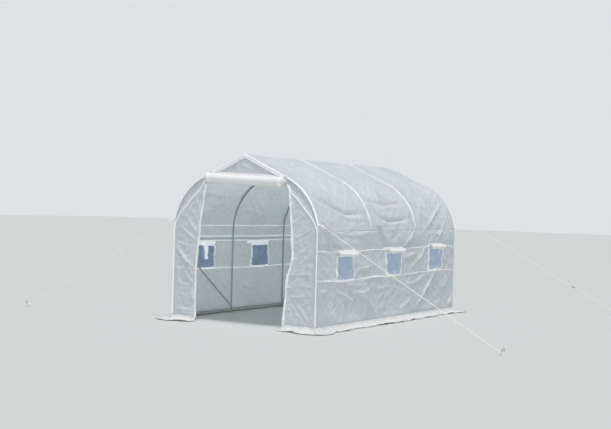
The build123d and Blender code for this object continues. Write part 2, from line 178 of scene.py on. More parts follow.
def crumple(u: Array, v: Array, cell: float, seed: int, octaves: int = 3) -> Array:
    """Sharp random creases: 1 minus 2.6 times the size of smooth noise, in layers that turn and get finer.

    Args:
        u: first coordinate, in metres.
        v: second coordinate, in metres.
        cell: the size of the largest creases, in metres.
        seed: the seed of the first layer.
        octaves: how many layers are added.

    Returns:
        Heights of about -1 to 1.
    """
    total = np.zeros(np.broadcast(u, v).shape)
    weight = 1.0
    for layer in range(octaves):
        turn = 0.7 + 1.3 * layer
        a = (u * math.cos(turn) - v * math.sin(turn)) / cell
        b = (u * math.sin(turn) + v * math.cos(turn)) / cell
        total += weight * (1.0 - 2.6 * np.abs(gradient_noise(a, b, seed + layer)))
        weight *= 0.55
        cell *= 0.52
    return total / 1.6


def streaks(u: Array, v: Array, turn: float, seed: int, length: float = 0.62, width: float = 0.17) -> Array:
    """Long thin creases one way: 1 minus six times the size of stretched noise, where that is above 0, to the 1.4.

    Args:
        u: first coordinate, in metres.
        v: second coordinate, in metres.
        turn: the creases' angle from the second coordinate, in radians.
        seed: the seed of the noise.
        length: how long the noise's cells are.
        width: how wide they are.

    Returns:
        Heights of 0 to 1.
    """
    a = (v * math.cos(turn) + u * math.sin(turn)) / length
    b = (u * math.cos(turn) - v * math.sin(turn)) / width
    return np.maximum(1.0 - 6.0 * np.abs(gradient_noise(a, b, seed)), 0.0) ** 1.4


@dataclass(frozen=True)
class Fold:
    """A crease in a sheet, along a line of places on it, with a height off the sheet and a width.

    Its height falls off with the distance d from the line as e^(-sqrt((d/w)^2 + 0.04)), less a shallow trough of
    three times the width, and fades in and out along the line. A negative height makes a valley.
    Round a high fold the sheet is whitened in a bell across the line: partly by strain, partly as a painted
    highlight on the crest.
    """

    places: tuple[Place, ...]
    height: float
    width: float
    trough: float = 0.3
    trough_width: float = 3.0
    white_width: float = 0.75
    white_height: float = 0.014

    def relief(self, first: Array, second: Array) -> tuple[Array, Array]:
        """The fold's effect at places given in the sheet's two coordinates.

        Args:
            first: the coordinate that each of the fold's places names first.
            second: the coordinate that each names second.

        Returns:
            The height off the sheet, and how far the sheet is whitened by strain and as a painted highlight, from 0 to
            1.
        """
        corners = np.array(self.places)
        start = distances(corners)
        nearest = np.full(first.shape, np.inf)
        along = np.zeros(first.shape)
        for a, b, run in zip(corners[:-1], corners[1:], start):
            way = unit(b - a)
            t = np.clip((first - a[0]) * way[0] + (second - a[1]) * way[1], 0.0, np.linalg.norm(b - a))
            gap = np.hypot(first - a[0] - t * way[0], second - a[1] - t * way[1])
            closer = gap < nearest
            nearest = np.where(closer, gap, nearest)
            along = np.where(closer, (run + t) / start[-1], along)
        ratio = nearest / self.width
        fade = np.sin(np.pi * np.clip(0.04 + 0.92 * along, 0.0, 1.0)) ** 0.8
        trough = self.trough * np.exp(-((ratio / self.trough_width) ** 2))
        crest = np.exp(-np.sqrt(ratio**2 + 0.04)) * 1.22 - trough
        white = bell(ratio, 0.0, self.white_width) * fade * min(1.0, abs(self.height) / self.white_height)
        return self.height * fade * crest / (1.0 - self.trough), white


def folds_lift(folds: Sequence[Fold], first: Array, second: Array) -> Array:
    """The folds' heights added up."""
    return sum(fold.relief(first, second)[0] for fold in folds)


def folds_white(folds: Sequence[Fold], first: Array, second: Array) -> Array:
    """The most that any of the folds whitens the sheet, by strain and as a painted highlight."""
    return np.max([fold.relief(first, second)[1] for fold in folds], axis=0)


# Finishes


def linear(code: str) -> tuple[float, float, float, float]:
    """Turns an sRGB hex code such as "#d8dee0" into linear red, green, blue and alpha."""
    parts = [int(code[n : n + 2], 16) / 255.0 for n in (1, 3, 5)]
    return (*[c / 12.92 if c <= 0.04045 else ((c + 0.055) / 1.055) ** 2.4 for c in parts], 1.0)


def add_node(
    tree: Tree, kind: str, links: dict[str | int, object] | None = None, stops: Sequence[tuple[float, str]] = (),
    **settings: object,
) -> bpy.types.Node:
    """Adds a node, sets its properties and fills its inputs.

    Args:
        tree: the material's node tree.
        kind: the node's type, without the word Shader before Node.
        links: for each input, by name or number, what goes in: a socket, a node's first output or a value.
        stops: the places and hex colours of a ramp.
        settings: properties of the node itself.

    Returns:
        The new node.
    """
    node = tree.nodes.new(f"ShaderNode{kind}")
    for key, value in settings.items():
        setattr(node, key, value)
    for stop, (position, code) in zip(node.color_ramp.elements if stops else (), stops):
        stop.position, stop.color = position, linear(code)
    for key, value in (links or {}).items():
        if isinstance(value, bpy.types.Node):
            value = value.outputs[0]
        if isinstance(value, Socket):
            tree.links.new(value, node.inputs[key])
        else:
            node.inputs[key].default_value = value
    return node


def grid_lines(tree: Tree, vector: Socket | bpy.types.Node, period: float) -> bpy.types.Node:
    """Two sets of soft lines that cross, the larger of the two: wave textures in X and in Y.

    A wave texture's own wave repeats every 2 pi / 20, so its scale is that over the period.

    Args:
        tree: the material's node tree.
        vector: the coordinates.
        period: the distance between lines, in metres.

    Returns:
        The node that gives the lines.
    """
    setting = {"Vector": vector, "Scale": TURN / 20.0 / period}
    lines = [add_node(tree, "TexWave", setting, bands_direction=way).outputs["Fac"] for way in ("X", "Y")]
    return add_node(tree, "Math", dict(enumerate(lines)), operation="MAXIMUM")


@dataclass(frozen=True)
class Surface:
    """What every finish has: a name, and a pale and a deep colour that a pattern blends."""

    name: str
    pale: str
    deep: str

    def build(self) -> bpy.types.Material:
        """Builds the material.

        Returns:
            The new material.
        """
        material = bpy.data.materials.new(self.name)
        material.use_nodes = True
        tree = material.node_tree
        tree.nodes.clear()
        place = add_node(tree, "TexCoord").outputs["Object"]
        cut = add_node(tree, "UVMap", uv_map="cut").outputs["UV"]
        add_node(tree, "OutputMaterial", {"Surface": self.shader(tree, place, cut)})
        for source in (place, cut):
            if not source.is_linked:
                tree.nodes.remove(source.node)
        return material

    def shader(self, tree: Tree, place: Socket, cut: Socket) -> bpy.types.Node:
        """The plain surface: matt, in its pale colour."""
        return add_node(tree, "BsdfDiffuse", {"Color": linear(self.pale)})

    def blend(self, tree: Tree, amount: Socket | bpy.types.Node, low: float, high: float) -> bpy.types.Node:
        """A ramp from the deep colour to the pale one, between two values of a pattern."""
        return add_node(tree, "ValToRGB", {0: amount}, [(low, self.deep), (high, self.pale)])


@dataclass(frozen=True)
class WovenSheet(Surface):
    """Laminated woven polyethylene sheet: extruded tapes woven flat and coated on both faces.

    The coat gives a soft plastic sheen over a fine grid of tapes, and light comes through it milky. Where it is
    creased sharply it is whiter and lets less light through: partly strain whitening, partly a painted highlight
    on the crests. Fine crumples of 20 to 60 mm and the grid are bump. The tapes are 2.5 mm wide, which is too fine to
    show, so the grid is drawn at 9 mm.
    """

    through: float = 0.55
    roughness: float = 0.42
    grid: float = 0.009
    cloud: float = 0.4
    mud: float = 0.0
    grain: float = 0.62

    def shader(self, tree: Tree, place: Socket, cut: Socket) -> bpy.types.Node:
        """Mixes a glossy coat with light that comes through, by the crease attribute.

        Args:
            tree: the material's node tree.
            place: Object coordinates.
            cut: coordinates on the cut piece.

        Returns:
            The shader.
        """
        crease = add_node(tree, "Attribute", attribute_name="crease").outputs["Fac"]
        haze, rub, hills = (
            add_node(tree, "TexNoise", {"Vector": place, "Scale": scale, "Detail": detail, "Roughness": self.grain})
            for scale, detail in ((2.6, 5.0), (23.0, 6.0), (11.0, 3.0))
        )
        spread = 0.5 - 0.28 * self.cloud
        colour = self.blend(tree, add_node(tree, "Mix", {0: 0.5, 2: haze, 3: rub}), spread, 1.0 - spread)
        lines = grid_lines(tree, cut, self.grid)
        grid = add_node(tree, "MapRange", {0: lines, 1: 0.75, 2: 1.0, 3: 0.0, 4: 0.35})
        # The crease attribute makes the sheet whiter and less see-through: strain whitening and a painted highlight on
        # the crests.
        whiter = add_node(tree, "MapRange", {0: crease, 3: 0.0, 4: 0.75})
        for amount, code in ((grid, self.pale), (whiter, "#ffffff")):
            colour = self.tinted(tree, amount, colour, code)
        if self.mud > 0:
            colour = self.soiled(tree, place, colour)
        fold = add_node(tree, "Math", {0: hills, 1: 0.5}, operation="SUBTRACT")
        fold = add_node(tree, "Math", {0: fold}, operation="ABSOLUTE")
        soft = add_node(tree, "Bump", {"Strength": 0.5, "Distance": 0.014, "Height": fold})
        bump = add_node(tree, "Bump", {"Strength": 0.12, "Distance": 0.0006, "Height": grid, "Normal": soft})
        gloss = add_node(tree, "MapRange", {0: rub, 3: self.roughness - 0.08, 4: self.roughness + 0.12})
        milky = add_node(tree, "MapRange", {0: crease, 3: self.through, 4: self.through * 0.75})
        coat = {"Base Color": colour, "Roughness": gloss, "IOR": 1.5, "Normal": bump, "Specular IOR Level": 0.4}
        solid = add_node(tree, "BsdfPrincipled", coat)
        light = add_node(tree, "BsdfTranslucent", {"Color": colour, "Normal": bump})
        return add_node(tree, "MixShader", {0: milky, 1: solid, 2: light})

    def tinted(self, tree: Tree, amount: Socket | bpy.types.Node, colour: object, code: str) -> Socket:
        """A colour blended towards a hex colour."""
        return add_node(tree, "Mix", {0: amount, 6: colour, 7: linear(code)}, data_type="RGBA").outputs[2]

    def soiled(self, tree: Tree, place: Socket, colour: Socket) -> Socket:
        """Adds dried mud splashes that fade out with height.

        Args:
            tree: the material's node tree.
            place: Object coordinates.
            colour: the clean colour.

        Returns:
            The soiled colour.
        """
        height = add_node(tree, "SeparateXYZ", {0: place}).outputs["Z"]
        low = add_node(tree, "MapRange", {0: height, 1: 0.0, 2: 0.05, 3: self.mud, 4: 0.0})
        setting = {"Vector": place, "Scale": 38.0, "Detail": 5.0, "Roughness": self.grain}
        spots = add_node(tree, "MapRange", {0: add_node(tree, "TexNoise", setting), 1: 0.5, 2: 0.66})
        return self.tinted(tree, add_node(tree, "Math", {0: low, 1: spots}, operation="MULTIPLY"), colour, "#a79a80")


@dataclass(frozen=True)
class InsectScreen(Surface):
    """Knitted polyethylene insect mesh: fine monofilament loops with 1.3 mm holes.

    The holes let some of what lies behind show, and the loops give it a blue-grey cast. Its loops are too fine to
    show, so the pattern is drawn at 5 mm, at 45 degrees.
    """

    cover: float = 0.88
    knit: float = 0.005

    def shader(self, tree: Tree, place: Socket, cut: Socket) -> bpy.types.Node:
        """Mixes solid loops with clear holes.

        Args:
            tree: the material's node tree.
            place: Object coordinates, which it doesn't need.
            cut: coordinates on the cut piece.

        Returns:
            The shader.
        """
        turned = add_node(tree, "Mapping", {"Vector": cut, "Rotation": (0.0, 0.0, math.radians(45.0))})
        knit = grid_lines(tree, turned, self.knit)
        cloud = add_node(tree, "TexNoise", {"Vector": turned, "Scale": 9.0, "Detail": 4.0})
        bump = add_node(tree, "Bump", {"Strength": 0.3, "Distance": 0.001, "Height": knit})
        colour = self.blend(tree, cloud, 0.3, 0.7)
        solid = add_node(tree, "BsdfPrincipled", {"Base Color": colour, "Roughness": 0.6, "Normal": bump})
        amount = add_node(tree, "MapRange", {0: knit, 3: self.cover - 0.15, 4: self.cover + 0.1})
        return add_node(tree, "MixShader", {0: amount, 1: add_node(tree, "BsdfTransparent"), 2: solid})


@dataclass(frozen=True)
class WovenTape(Surface):
    """Woven polypropylene tape: a twill of flat white yarns.

    It is matt and bright, with a fine slanted rib, and a little light comes through it. It glows faintly, painted
    light that stands in for the light falling on it, so that the tape stands out white from the milky sheet. The
    ribs are 1 mm apart and are drawn at 3 mm.
    """

    rib: float = 0.003
    roughness: float = 0.7
    through: float = 0.05
    brightener: float = 0.12

    def shader(self, tree: Tree, place: Socket, cut: Socket) -> bpy.types.Node:
        """Mixes ribbed yarns with light that comes through.

        Args:
            tree: the material's node tree.
            place: Object coordinates.
            cut: coordinates on the cut piece.

        Returns:
            The shader.
        """
        setting = {"Vector": cut, "Scale": TURN / 20.0 / self.rib}
        wave = add_node(tree, "TexWave", setting, bands_direction="DIAGONAL").outputs["Fac"]
        wear = add_node(tree, "TexNoise", {"Vector": place, "Scale": 30.0, "Detail": 5.0})
        colour = self.blend(tree, add_node(tree, "Mix", {0: 0.5, 2: wave, 3: wear}), 0.25, 0.7)
        bump = add_node(tree, "Bump", {"Strength": 0.4, "Distance": 0.0006, "Height": wave})
        yarn = {"Base Color": colour, "Roughness": self.roughness, "Normal": bump, "Sheen Weight": 0.15}
        # A faint glow: painted light that makes the tape read white.
        glow = {"Emission Color": linear("#f4f8ff"), "Emission Strength": self.brightener}
        solid = add_node(tree, "BsdfPrincipled", yarn | glow)
        light = add_node(tree, "BsdfTranslucent", {"Color": colour, "Normal": bump})
        return add_node(tree, "MixShader", {0: self.through, 1: solid, 2: light})


@dataclass(frozen=True)
class GalvanisedSteel(Surface):
    """Hot-dip galvanised steel tube: a dull zinc skin with small crystals, darker where it has weathered.

    It is a metal of middling roughness. The crystals are about 8 mm across.
    """

    roughness: float = 0.46
    crystal: float = 0.008
    metallic: float = 0.7

    def shader(self, tree: Tree, place: Socket, cut: Socket) -> bpy.types.Node:
        """Blends crystals with stains, which are rougher.

        Args:
            tree: the material's node tree.
            place: Object coordinates.
            cut: coordinates on the cut piece, which it doesn't need.

        Returns:
            The shader.
        """
        crystals = add_node(tree, "TexVoronoi", {"Vector": place, "Scale": 1.0 / self.crystal}).outputs["Color"]
        stain = add_node(tree, "TexNoise", {"Vector": place, "Scale": 14.0, "Detail": 6.0})
        mean = add_node(tree, "Mix", {0: 0.5, 2: add_node(tree, "SeparateColor", {0: crystals}), 3: stain})
        rough = {0: stain, 1: 0.3, 2: 0.7, 3: self.roughness - 0.1, 4: self.roughness + 0.16}
        skin = {
            "Base Color": self.blend(tree, mean, 0.2, 0.8),
            "Roughness": add_node(tree, "MapRange", rough),
            "Normal": add_node(tree, "Bump", {"Strength": 0.15, "Distance": 0.0004, "Height": stain}),
            "Metallic": self.metallic,
        }
        return add_node(tree, "BsdfPrincipled", skin)


@dataclass(frozen=True)
class MouldedPlastic(Surface):
    """Injection-moulded polyethylene: even colour with a fine matt grain of about 1 mm."""

    roughness: float = 0.55

    def shader(self, tree: Tree, place: Socket, cut: Socket) -> bpy.types.Node:
        """A matt plastic with its grain as bump.

        Args:
            tree: the material's node tree.
            place: Object coordinates.
            cut: coordinates on the cut piece, which it doesn't need.

        Returns:
            The shader.
        """
        cloud = add_node(tree, "TexNoise", {"Vector": place, "Scale": 40.0, "Detail": 6.0})
        grain = add_node(tree, "TexNoise", {"Vector": place, "Scale": 900.0, "Detail": 3.0})
        bump = add_node(tree, "Bump", {"Strength": 0.2, "Distance": 0.0002, "Height": grain})
        colour = self.blend(tree, cloud, 0.35, 0.75)
        return add_node(tree, "BsdfPrincipled", {"Base Color": colour, "Roughness": self.roughness, "Normal": bump})


class Finish(Enum):
    """The finishes: the record's slot that each belongs to, and its surface."""

    COVER = "cover_sheet", WovenSheet("woven_polyethylene_cover", "#f2f6f8", "#e8edef")
    ROLL = "rolled_sheet", WovenSheet("woven_polyethylene_rolled", "#ffffff", "#fbfcfc", through=0.06, cloud=0.3)
    SKIRT = "skirt_sheet", WovenSheet("woven_polyethylene_skirt", "#fafbfa", "#f0f3f2", through=0.3, mud=0.3)
    # The screen's inner face is a darker copy of its outer face: painted shade.
    SCREEN_OUT = "insect_screen", InsectScreen("knitted_screen_outside", "#dbe9fc", "#c6d8f1")
    SCREEN_IN = "insect_screen", InsectScreen("knitted_screen_inside", "#bccde6", "#a2b4d0")
    # The tapes, the zip and the cord glow faintly: painted light. The inner tape, whose inner face shows, glows most.
    BINDING = "white_binding", WovenTape("woven_tape_white", "#ffffff", "#f7f8f8")
    INNER_TAPE = "white_binding", WovenTape("woven_tape_inner", "#ffffff", "#fbfcfc", brightener=0.30)
    ZIP = "zip_tape", WovenTape("coil_zip_tape", "#fdfefe", "#f2f4f5", brightener=0.10)
    CORD = "guy_cord", WovenTape(
        "twisted_polypropylene_cord", "#fdfdfb", "#f3f2ec", rib=0.004, through=0.0, brightener=0.10
    )
    TUBE = "steel_tube", GalvanisedSteel("galvanised_tube", "#c6cbcd", "#a4abae")
    # The side rails are paler and less metallic than the other tubes: painted light from above.
    RAIL = "steel_tube", GalvanisedSteel("galvanised_rail", "#e8ecee", "#d3d9dc", metallic=0.2)
    SCREW = "zinc_screw", GalvanisedSteel("zinc_plated_screw", "#b9bdc0", "#9ea3a6", roughness=0.3, crystal=0.002)
    PEG = "peg_steel", GalvanisedSteel("galvanised_wire_peg", "#a1a6a8", "#7d8385", roughness=0.38, crystal=0.004)
    CAP = "cap_plastic", MouldedPlastic("moulded_foot_cap", "#2b2c2d", "#191a1b")

    @property
    def slot(self) -> str:
        """The finish's slot in the record."""
        return self.value[0]

    @cached_property
    def material(self) -> bpy.types.Material:
        """The finish's material, built once."""
        return self.value[1].build()


# Meshes


def add_piece(name: str, mesh: bpy.types.Mesh, finish: Finish, *nodes: str) -> bpy.types.Object:
    """Puts a mesh in the scene as a piece that rides on the frame, with its finish, and reports it.

    Args:
        name: the piece's name.
        mesh: its mesh.
        finish: its finish.
        nodes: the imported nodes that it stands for, which it hides.

    Returns:
        The new piece.
    """
    piece = bpy.data.objects.new(name, mesh)
    bpy.context.scene.collection.objects.link(piece)
    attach(piece, BODY)
    mesh.materials.append(finish.material)
    finish.slot
    if nodes:
        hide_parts(*nodes)
    log.info("%s: %d faces of %s", name, len(mesh.polygons), finish.slot)
    return piece


def new_mesh(name: str, points: Array, faces: Array, uv: Array, crease: Array | None = None) -> bpy.types.Mesh:
    """Makes a mesh of quads from arrays, shaded smooth, without the points that no quad uses.

    Args:
        name: the mesh's name.
        points: places, one row each.
        faces: four point numbers a row.
        uv: two coordinates for each point, in metres on the cut piece.
        crease: how sharply the sheet is creased at each point, from 0 to 1.

    Returns:
        The new mesh.
    """
    used, renumbered = np.unique(faces, return_inverse=True)
    faces = renumbered.reshape(faces.shape)
    points, uv = points[used], uv[used]
    mesh = bpy.data.meshes.new(name)
    mesh.vertices.add(len(points))
    mesh.vertices.foreach_set("co", points.astype(np.float32).ravel())
    mesh.loops.add(faces.size)
    mesh.loops.foreach_set("vertex_index", faces.astype(np.int32).ravel())
    mesh.polygons.add(len(faces))
    mesh.polygons.foreach_set("loop_start", np.arange(0, faces.size, 4, dtype=np.int32))
    mesh.polygons.foreach_set("use_smooth", np.ones(len(faces), bool))
    mesh.uv_layers.new(name="cut").data.foreach_set("uv", uv[faces.ravel()].astype(np.float32).ravel())
    if crease is not None:
        mesh.attributes.new("crease", "FLOAT", "POINT").data.foreach_set("value", crease[used].astype(np.float32))
    mesh.update(calc_edges=True)
    mesh.validate()
    return mesh


def grid_faces(rows: int, columns: int, ring: bool = False, flip: bool = False, start: int = 0) -> Array:
    """The quads of a grid of points, numbered row by row.

    Args:
        rows: rows of points.
        columns: points in a row.
        ring: whether the last column joins the first.
        flip: whether the faces look the other way.
        start: the number of the first point.

    Returns:
        An array of rows by columns by four point numbers.
    """
    number = start + np.arange(rows * columns).reshape(rows, columns)
    if ring:
        number = np.concatenate([number, number[:, :1]], axis=1)
    corners = [number[:-1, :-1], number[:-1, 1:], number[1:, 1:], number[1:, :-1]]
    return np.stack(corners[::-1] if flip else corners, axis=-1)


def crease_of(points: Array) -> Array:
    """How sharply a grid is creased: the second difference over the square of the step, less that of slow curves.

    Args:
        points: places, rows by columns by three.

    Returns:
        From 0 to 1 for each place.
    """
    around = points[2:, 1:-1] + points[:-2, 1:-1] + points[1:-1, 2:] + points[1:-1, :-2] - 4 * points[1:-1, 1:-1]
    step = np.linalg.norm(points[1:, 1:] - points[:-1, :-1], axis=-1)[1:, 1:] ** 2 / 2
    slow, sharpest = 4.0, 30.0
    sharp = np.zeros(points.shape[:2])
    sharp[1:-1, 1:-1] = np.clip((np.linalg.norm(around, axis=-1) / step - slow) / (sharpest - slow), 0.0, 1.0)
    return sharp


def quads_area(points: Array, keep: Array) -> float:
    """The area of a grid's quads that stay: half the size of the cross product of each one's diagonals."""
    one, two = points[1:, 1:] - points[:-1, :-1], points[1:, :-1] - points[:-1, 1:]
    return float((np.linalg.norm(np.cross(one, two), axis=-1) / 2)[keep].sum())


def add_sheet(
    name: str, points: Array, uv: Array, held: str, rests_on: Sequence[str], finish: Finish, *nodes: str,
    flip: bool = False, keep: Array | None = None, white: Array | None = None,
) -> bpy.types.Object:
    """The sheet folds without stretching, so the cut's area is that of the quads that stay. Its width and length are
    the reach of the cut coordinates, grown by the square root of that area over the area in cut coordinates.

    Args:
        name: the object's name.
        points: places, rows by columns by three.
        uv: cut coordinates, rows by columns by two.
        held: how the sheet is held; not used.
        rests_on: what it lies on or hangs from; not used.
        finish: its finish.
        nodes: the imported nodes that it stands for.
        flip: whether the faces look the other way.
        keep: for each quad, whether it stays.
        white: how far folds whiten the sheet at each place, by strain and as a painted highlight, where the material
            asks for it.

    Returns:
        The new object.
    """
    faces = grid_faces(*points.shape[:2], flip=flip)
    keep = np.ones(faces.shape[:2], bool) if keep is None else keep
    # Sharp bends and fold crests, which the material paints whiter: strain whitening and a painted highlight.
    crease = None if white is None else np.maximum(CREASE_WHITENING_AND_HIGHLIGHT * crease_of(points), white).ravel()
    mesh = new_mesh(name, points.reshape(-1, 3), faces[keep], uv.reshape(-1, 2), crease)
    piece = add_piece(name, mesh, finish, *nodes)
    shell = piece.modifiers.new("thickness", "SOLIDIFY")
    shell.thickness = SHEET_THICKNESS
    shell.offset = 0.0
    flat = np.concatenate([uv, np.zeros_like(points[..., :1])], axis=-1)
    area = quads_area(points, keep)
    cut = np.ptp(uv, axis=(0, 1)) * math.sqrt(area / quads_area(flat, keep))
    return piece


def clean_mesh(mesh: bpy.types.Mesh, merge: float) -> None:
    """Merges a mesh's double points, closes its open ends and turns its faces outwards.

    Args:
        mesh: the mesh.
        merge: how near points have to be to become one, or 0 for no merging.
    """
    work = bmesh.new()
    work.from_mesh(mesh)
    if merge:
        bmesh.ops.remove_doubles(work, verts=work.verts, dist=merge)
    bmesh.ops.holes_fill(work, edges=[edge for edge in work.edges if edge.is_boundary], sides=0)
    bmesh.ops.recalc_face_normals(work, faces=work.faces)
    work.to_mesh(mesh)
    work.free()


def add_strip(name: str, parts: Sequence[Grid], finish: Finish, *nodes: str, ring: bool = False) -> None:
    """Makes a piece of closed bars from grids whose rows are rings round a path, with their ends filled.

    Args:
        name: the object's name.
        parts: for each bar, its places and its cut coordinates: rings by points in a ring.
        finish: its finish.
        nodes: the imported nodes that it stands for.
        ring: whether each path is closed, so that it has no ends.
    """
    points, coordinates, faces = [], [], []
    count = 0
    for bar, cut in parts:
        if ring:
            bar, cut = np.concatenate([bar, bar[:1]]), np.concatenate([cut, cut[:1]])
        rows, columns = bar.shape[:2]
        faces.append(grid_faces(rows, columns, ring=True, start=count).reshape(-1, 4))
        points.append(bar.reshape(-1, 3))
        coordinates.append(cut.reshape(-1, 2))
        count += rows * columns
    mesh = new_mesh(name, *(np.concatenate(arrays) for arrays in (points, faces, coordinates)))
    clean_mesh(mesh, 1e-6 if ring else 0.0)
    add_piece(name, mesh, finish, *nodes)


def square_to(way: Array, lead: Sequence[float]) -> Grid:
    """Two directions square to each other and to the given one: its cross product with a lead, and with that."""
    first = unit(np.cross(way, np.asarray(lead, float)))
    return first, np.cross(way, first)


def bar_along(path: Array, radius: float | Array, sides: int = 10) -> Grid:
    """Rings round a path, each square to it: a circle carried along without turning.

    Args:
        path: places along the path, one row each.
        radius: the bar's radius, one number or one for each place.
        sides: points in a ring.

    Returns:
        The rings and their cut coordinates.
    """
    first, second = square_to(unit(np.gradient(path, axis=0)), (0.31, 0.52, 0.79))
    angle = np.linspace(0.0, TURN, sides, endpoint=False)
    reach = np.broadcast_to(np.asarray(radius, float), (len(path),))
    uv = together(distances(path)[:, None], angle * reach.mean())
    return path[:, None] + circle(first[:, None], second[:, None], angle) * reach[:, None, None], uv


def tape_section(width: float, rise: float, points: int = 10) -> Grid:
    """A flat rounded section: an ellipse whose sides are squared up by a power of 0.55."""
    angle = np.linspace(0.0, TURN, points, endpoint=False)
    return np.sign(np.cos(angle)) * np.abs(np.cos(angle)) ** 0.55 * width / 2, np.sin(angle) * rise


def tape_along(path: Array, out: Array, way: Array, width: float, rise: float = 0.0009) -> Grid:
    """Rings of a flat tape along a path.

    Args:
        path: places along the path.
        out: the way that its face looks, at each place.
        way: the way across it.
        width: its width.
        rise: half its thickness.

    Returns:
        The rings and their cut coordinates.
    """
    across, lift = tape_section(width, rise)
    places = path[:, None] + way * across[:, None] + out[:, None] * lift[:, None]
    return places, together(distances(path)[:, None], across)


# The tunnel's form


@dataclass(frozen=True)
class TunnelForm:
    """The cover's outer outline and the places of the arches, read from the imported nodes."""

    wall_x: float
    spring_z: float
    foot_z: float
    ridge_z: float
    rafter_x: float
    rafter_z: float
    tube_radius: float
    rail_radius: float
    arches: tuple[float, ...]
    side_rail_z: float
    cad_sheet: float
    cad_gap: float = 0.0003
    ridge_softness: float = 0.006
    inset_leg: float = 0.003
    inset_rafter: float = 0.014
    inset_bow: Place = (0.098, 0.050)

    @classmethod
    def from_frame(cls) -> "TunnelForm":
        """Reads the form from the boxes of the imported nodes.

        Returns:
            The tunnel's form.
        """
        wall_low, wall_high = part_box("cover_wall_right")
        front_low, front_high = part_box("front_arch_bows")
        rear_low, rear_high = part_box("rear_arch_bows")
        rail_low, rail_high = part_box("side_rail_right")
        slope_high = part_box("cover_slope_right")[1]
        return cls(
            wall_x=wall_high.x,
            spring_z=wall_high.z,
            foot_z=wall_low.z,
            ridge_z=slope_high.z,
            rafter_x=slope_high.x,
            rafter_z=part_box("cover_shoulder_right")[1].z,
            tube_radius=(front_high.y - front_low.y) / 2,
            rail_radius=(rail_high.z - rail_low.z) / 2,
            arches=tuple(np.linspace((front_low.y + front_high.y) / 2, (rear_low.y + rear_high.y) / 2, 4)),
            side_rail_z=(rail_low.z + rail_high.z) / 2,
            cad_sheet=wall_high.x - wall_low.x,
        )

    @property
    def pitch(self) -> float:
        """The rafters' slope, in radians."""
        return math.atan2(self.ridge_z - self.rafter_z, self.rafter_x)

    @property
    def bend(self) -> float:
        """The radius of the cover's outer face over the bows."""
        return (self.wall_x - self.rafter_x) / (1.0 - math.sin(self.pitch))

    @property
    def rafter_run(self) -> float:
        """The run, up the outline from the ground, at which the straight rafter starts."""
        return self.spring_z + self.bend * (math.pi / 2 - self.pitch)

    @property
    def ridge_run(self) -> float:
        """The run from the ground to the ridge."""
        return self.rafter_run + self.rafter_x / math.cos(self.pitch)

    @property
    def outer(self) -> float:
        """How far the cover's outer face lies from the tubes' centreline."""
        return self.tube_radius + self.cad_gap + self.cad_sheet

    @property
    def wrap(self) -> float:
        """The radius at which the cover's middle goes round an end arch."""
        return self.outer - self.cad_sheet / 2

    @property
    def quarter(self) -> float:
        """The length of the cover's quarter turn round an end arch."""
        return self.wrap * math.pi / 2

    @property
    def bay(self) -> float:
        """The distance between arches."""
        return self.arches[1] - self.arches[0]

    def arch(self, end: End) -> float:
        """The Y of the arch at an end."""
        return self.arches[0] if end is End.FRONT else self.arches[-1]

    def face(self, end: End) -> float:
        """The Y of the cover's middle on the end face."""
        return self.arch(end) + end.value * self.wrap

    def window_y(self, number: int) -> float:
        """The middle of a window along the tunnel, counted from the front."""
        return self.arches[0] + (number + 0.5) * self.bay

    def outline(self, run: Array) -> tuple[Array, Array, Array, Array]:
        """The right half of the cover's outer outline: up the wall, round the bow and up the rafter.

        The wall is x = constant. The bow is a circle whose angle is the run past the spring over the radius. The
        rafter is a line at the pitch, rounded at the ridge by taking sqrt(x^2 + softness^2) in place of x.

        Args:
            run: distance from the ground along the outline, in metres.

        Returns:
            X, Z, and the outward normal's X and Z.
        """
        angle = np.clip((run - self.spring_z) / self.bend, 0.0, math.pi / 2 - self.pitch)
        past = np.maximum(run - self.rafter_run, 0.0)
        x = self.wall_x - self.bend + self.bend * np.cos(angle) - past * math.cos(self.pitch)
        soft = np.sqrt(x**2 + self.ridge_softness**2)
        on_rafter = self.ridge_z - soft * math.tan(self.pitch)
        z = np.where(run > self.rafter_run, on_rafter, np.minimum(run, self.spring_z) + self.bend * np.sin(angle))
        normal_x = np.where(run > self.rafter_run, math.sin(self.pitch) * x / soft, np.cos(angle))
        normal_z = np.sin(angle)
        size = np.hypot(normal_x, normal_z)
        return x, z, normal_x / size, normal_z / size

    def inwards(self, run: Array, depth: Array) -> Grid:
        """Places inside the outline: along the normal, and with x^2 / (x + shift) so as not to pass x = 0.

        Args:
            run: distance from the ground along the outline.
            depth: how far inside it.

        Returns:
            X and Z.
        """
        x, z, normal_x, normal_z = self.outline(run)
        x = np.maximum(x, 1e-5)
        return x**2 / (x + normal_x * depth), z - normal_z * depth

    def inset(self, run: Array, end: End) -> Array:
        """How far an end's seam lies in from the quarter turn: a narrow strip that widens over the bow.

        Args:
            run: distance from the ground along the outline.
            end: which end.

        Returns:
            The strip's width at each run.
        """
        bow = (run - self.spring_z) / (self.rafter_run - self.spring_z)
        wide = self.inset_bow[end is End.REAR]
        bulge = wide * smoothstep(0.05, 0.55, bow) * (1.0 - smoothstep(0.78, 1.12, bow))
        return self.inset_leg + (self.inset_rafter - self.inset_leg) * smoothstep(0.2, 0.9, bow) + bulge

    def seam_width(self, z: Array, end: End) -> Array:
        """How far an end's seam is from the middle at a height, read off the seam's own line.

        Args:
            z: the heights.
            end: which end.

        Returns:
            X at each height.
        """
        run = np.linspace(self.foot_z - 0.02, self.ridge_run, 500)
        x, height = self.inwards(run, self.wrap + self.inset(run, end))
        return np.interp(z, height, x)

    def seam_top(self, end: End) -> float:
        """The height of an end's seam under the ridge."""
        run = np.array(self.ridge_run)
        return float(self.inwards(run, self.wrap + self.inset(run, end))[1])


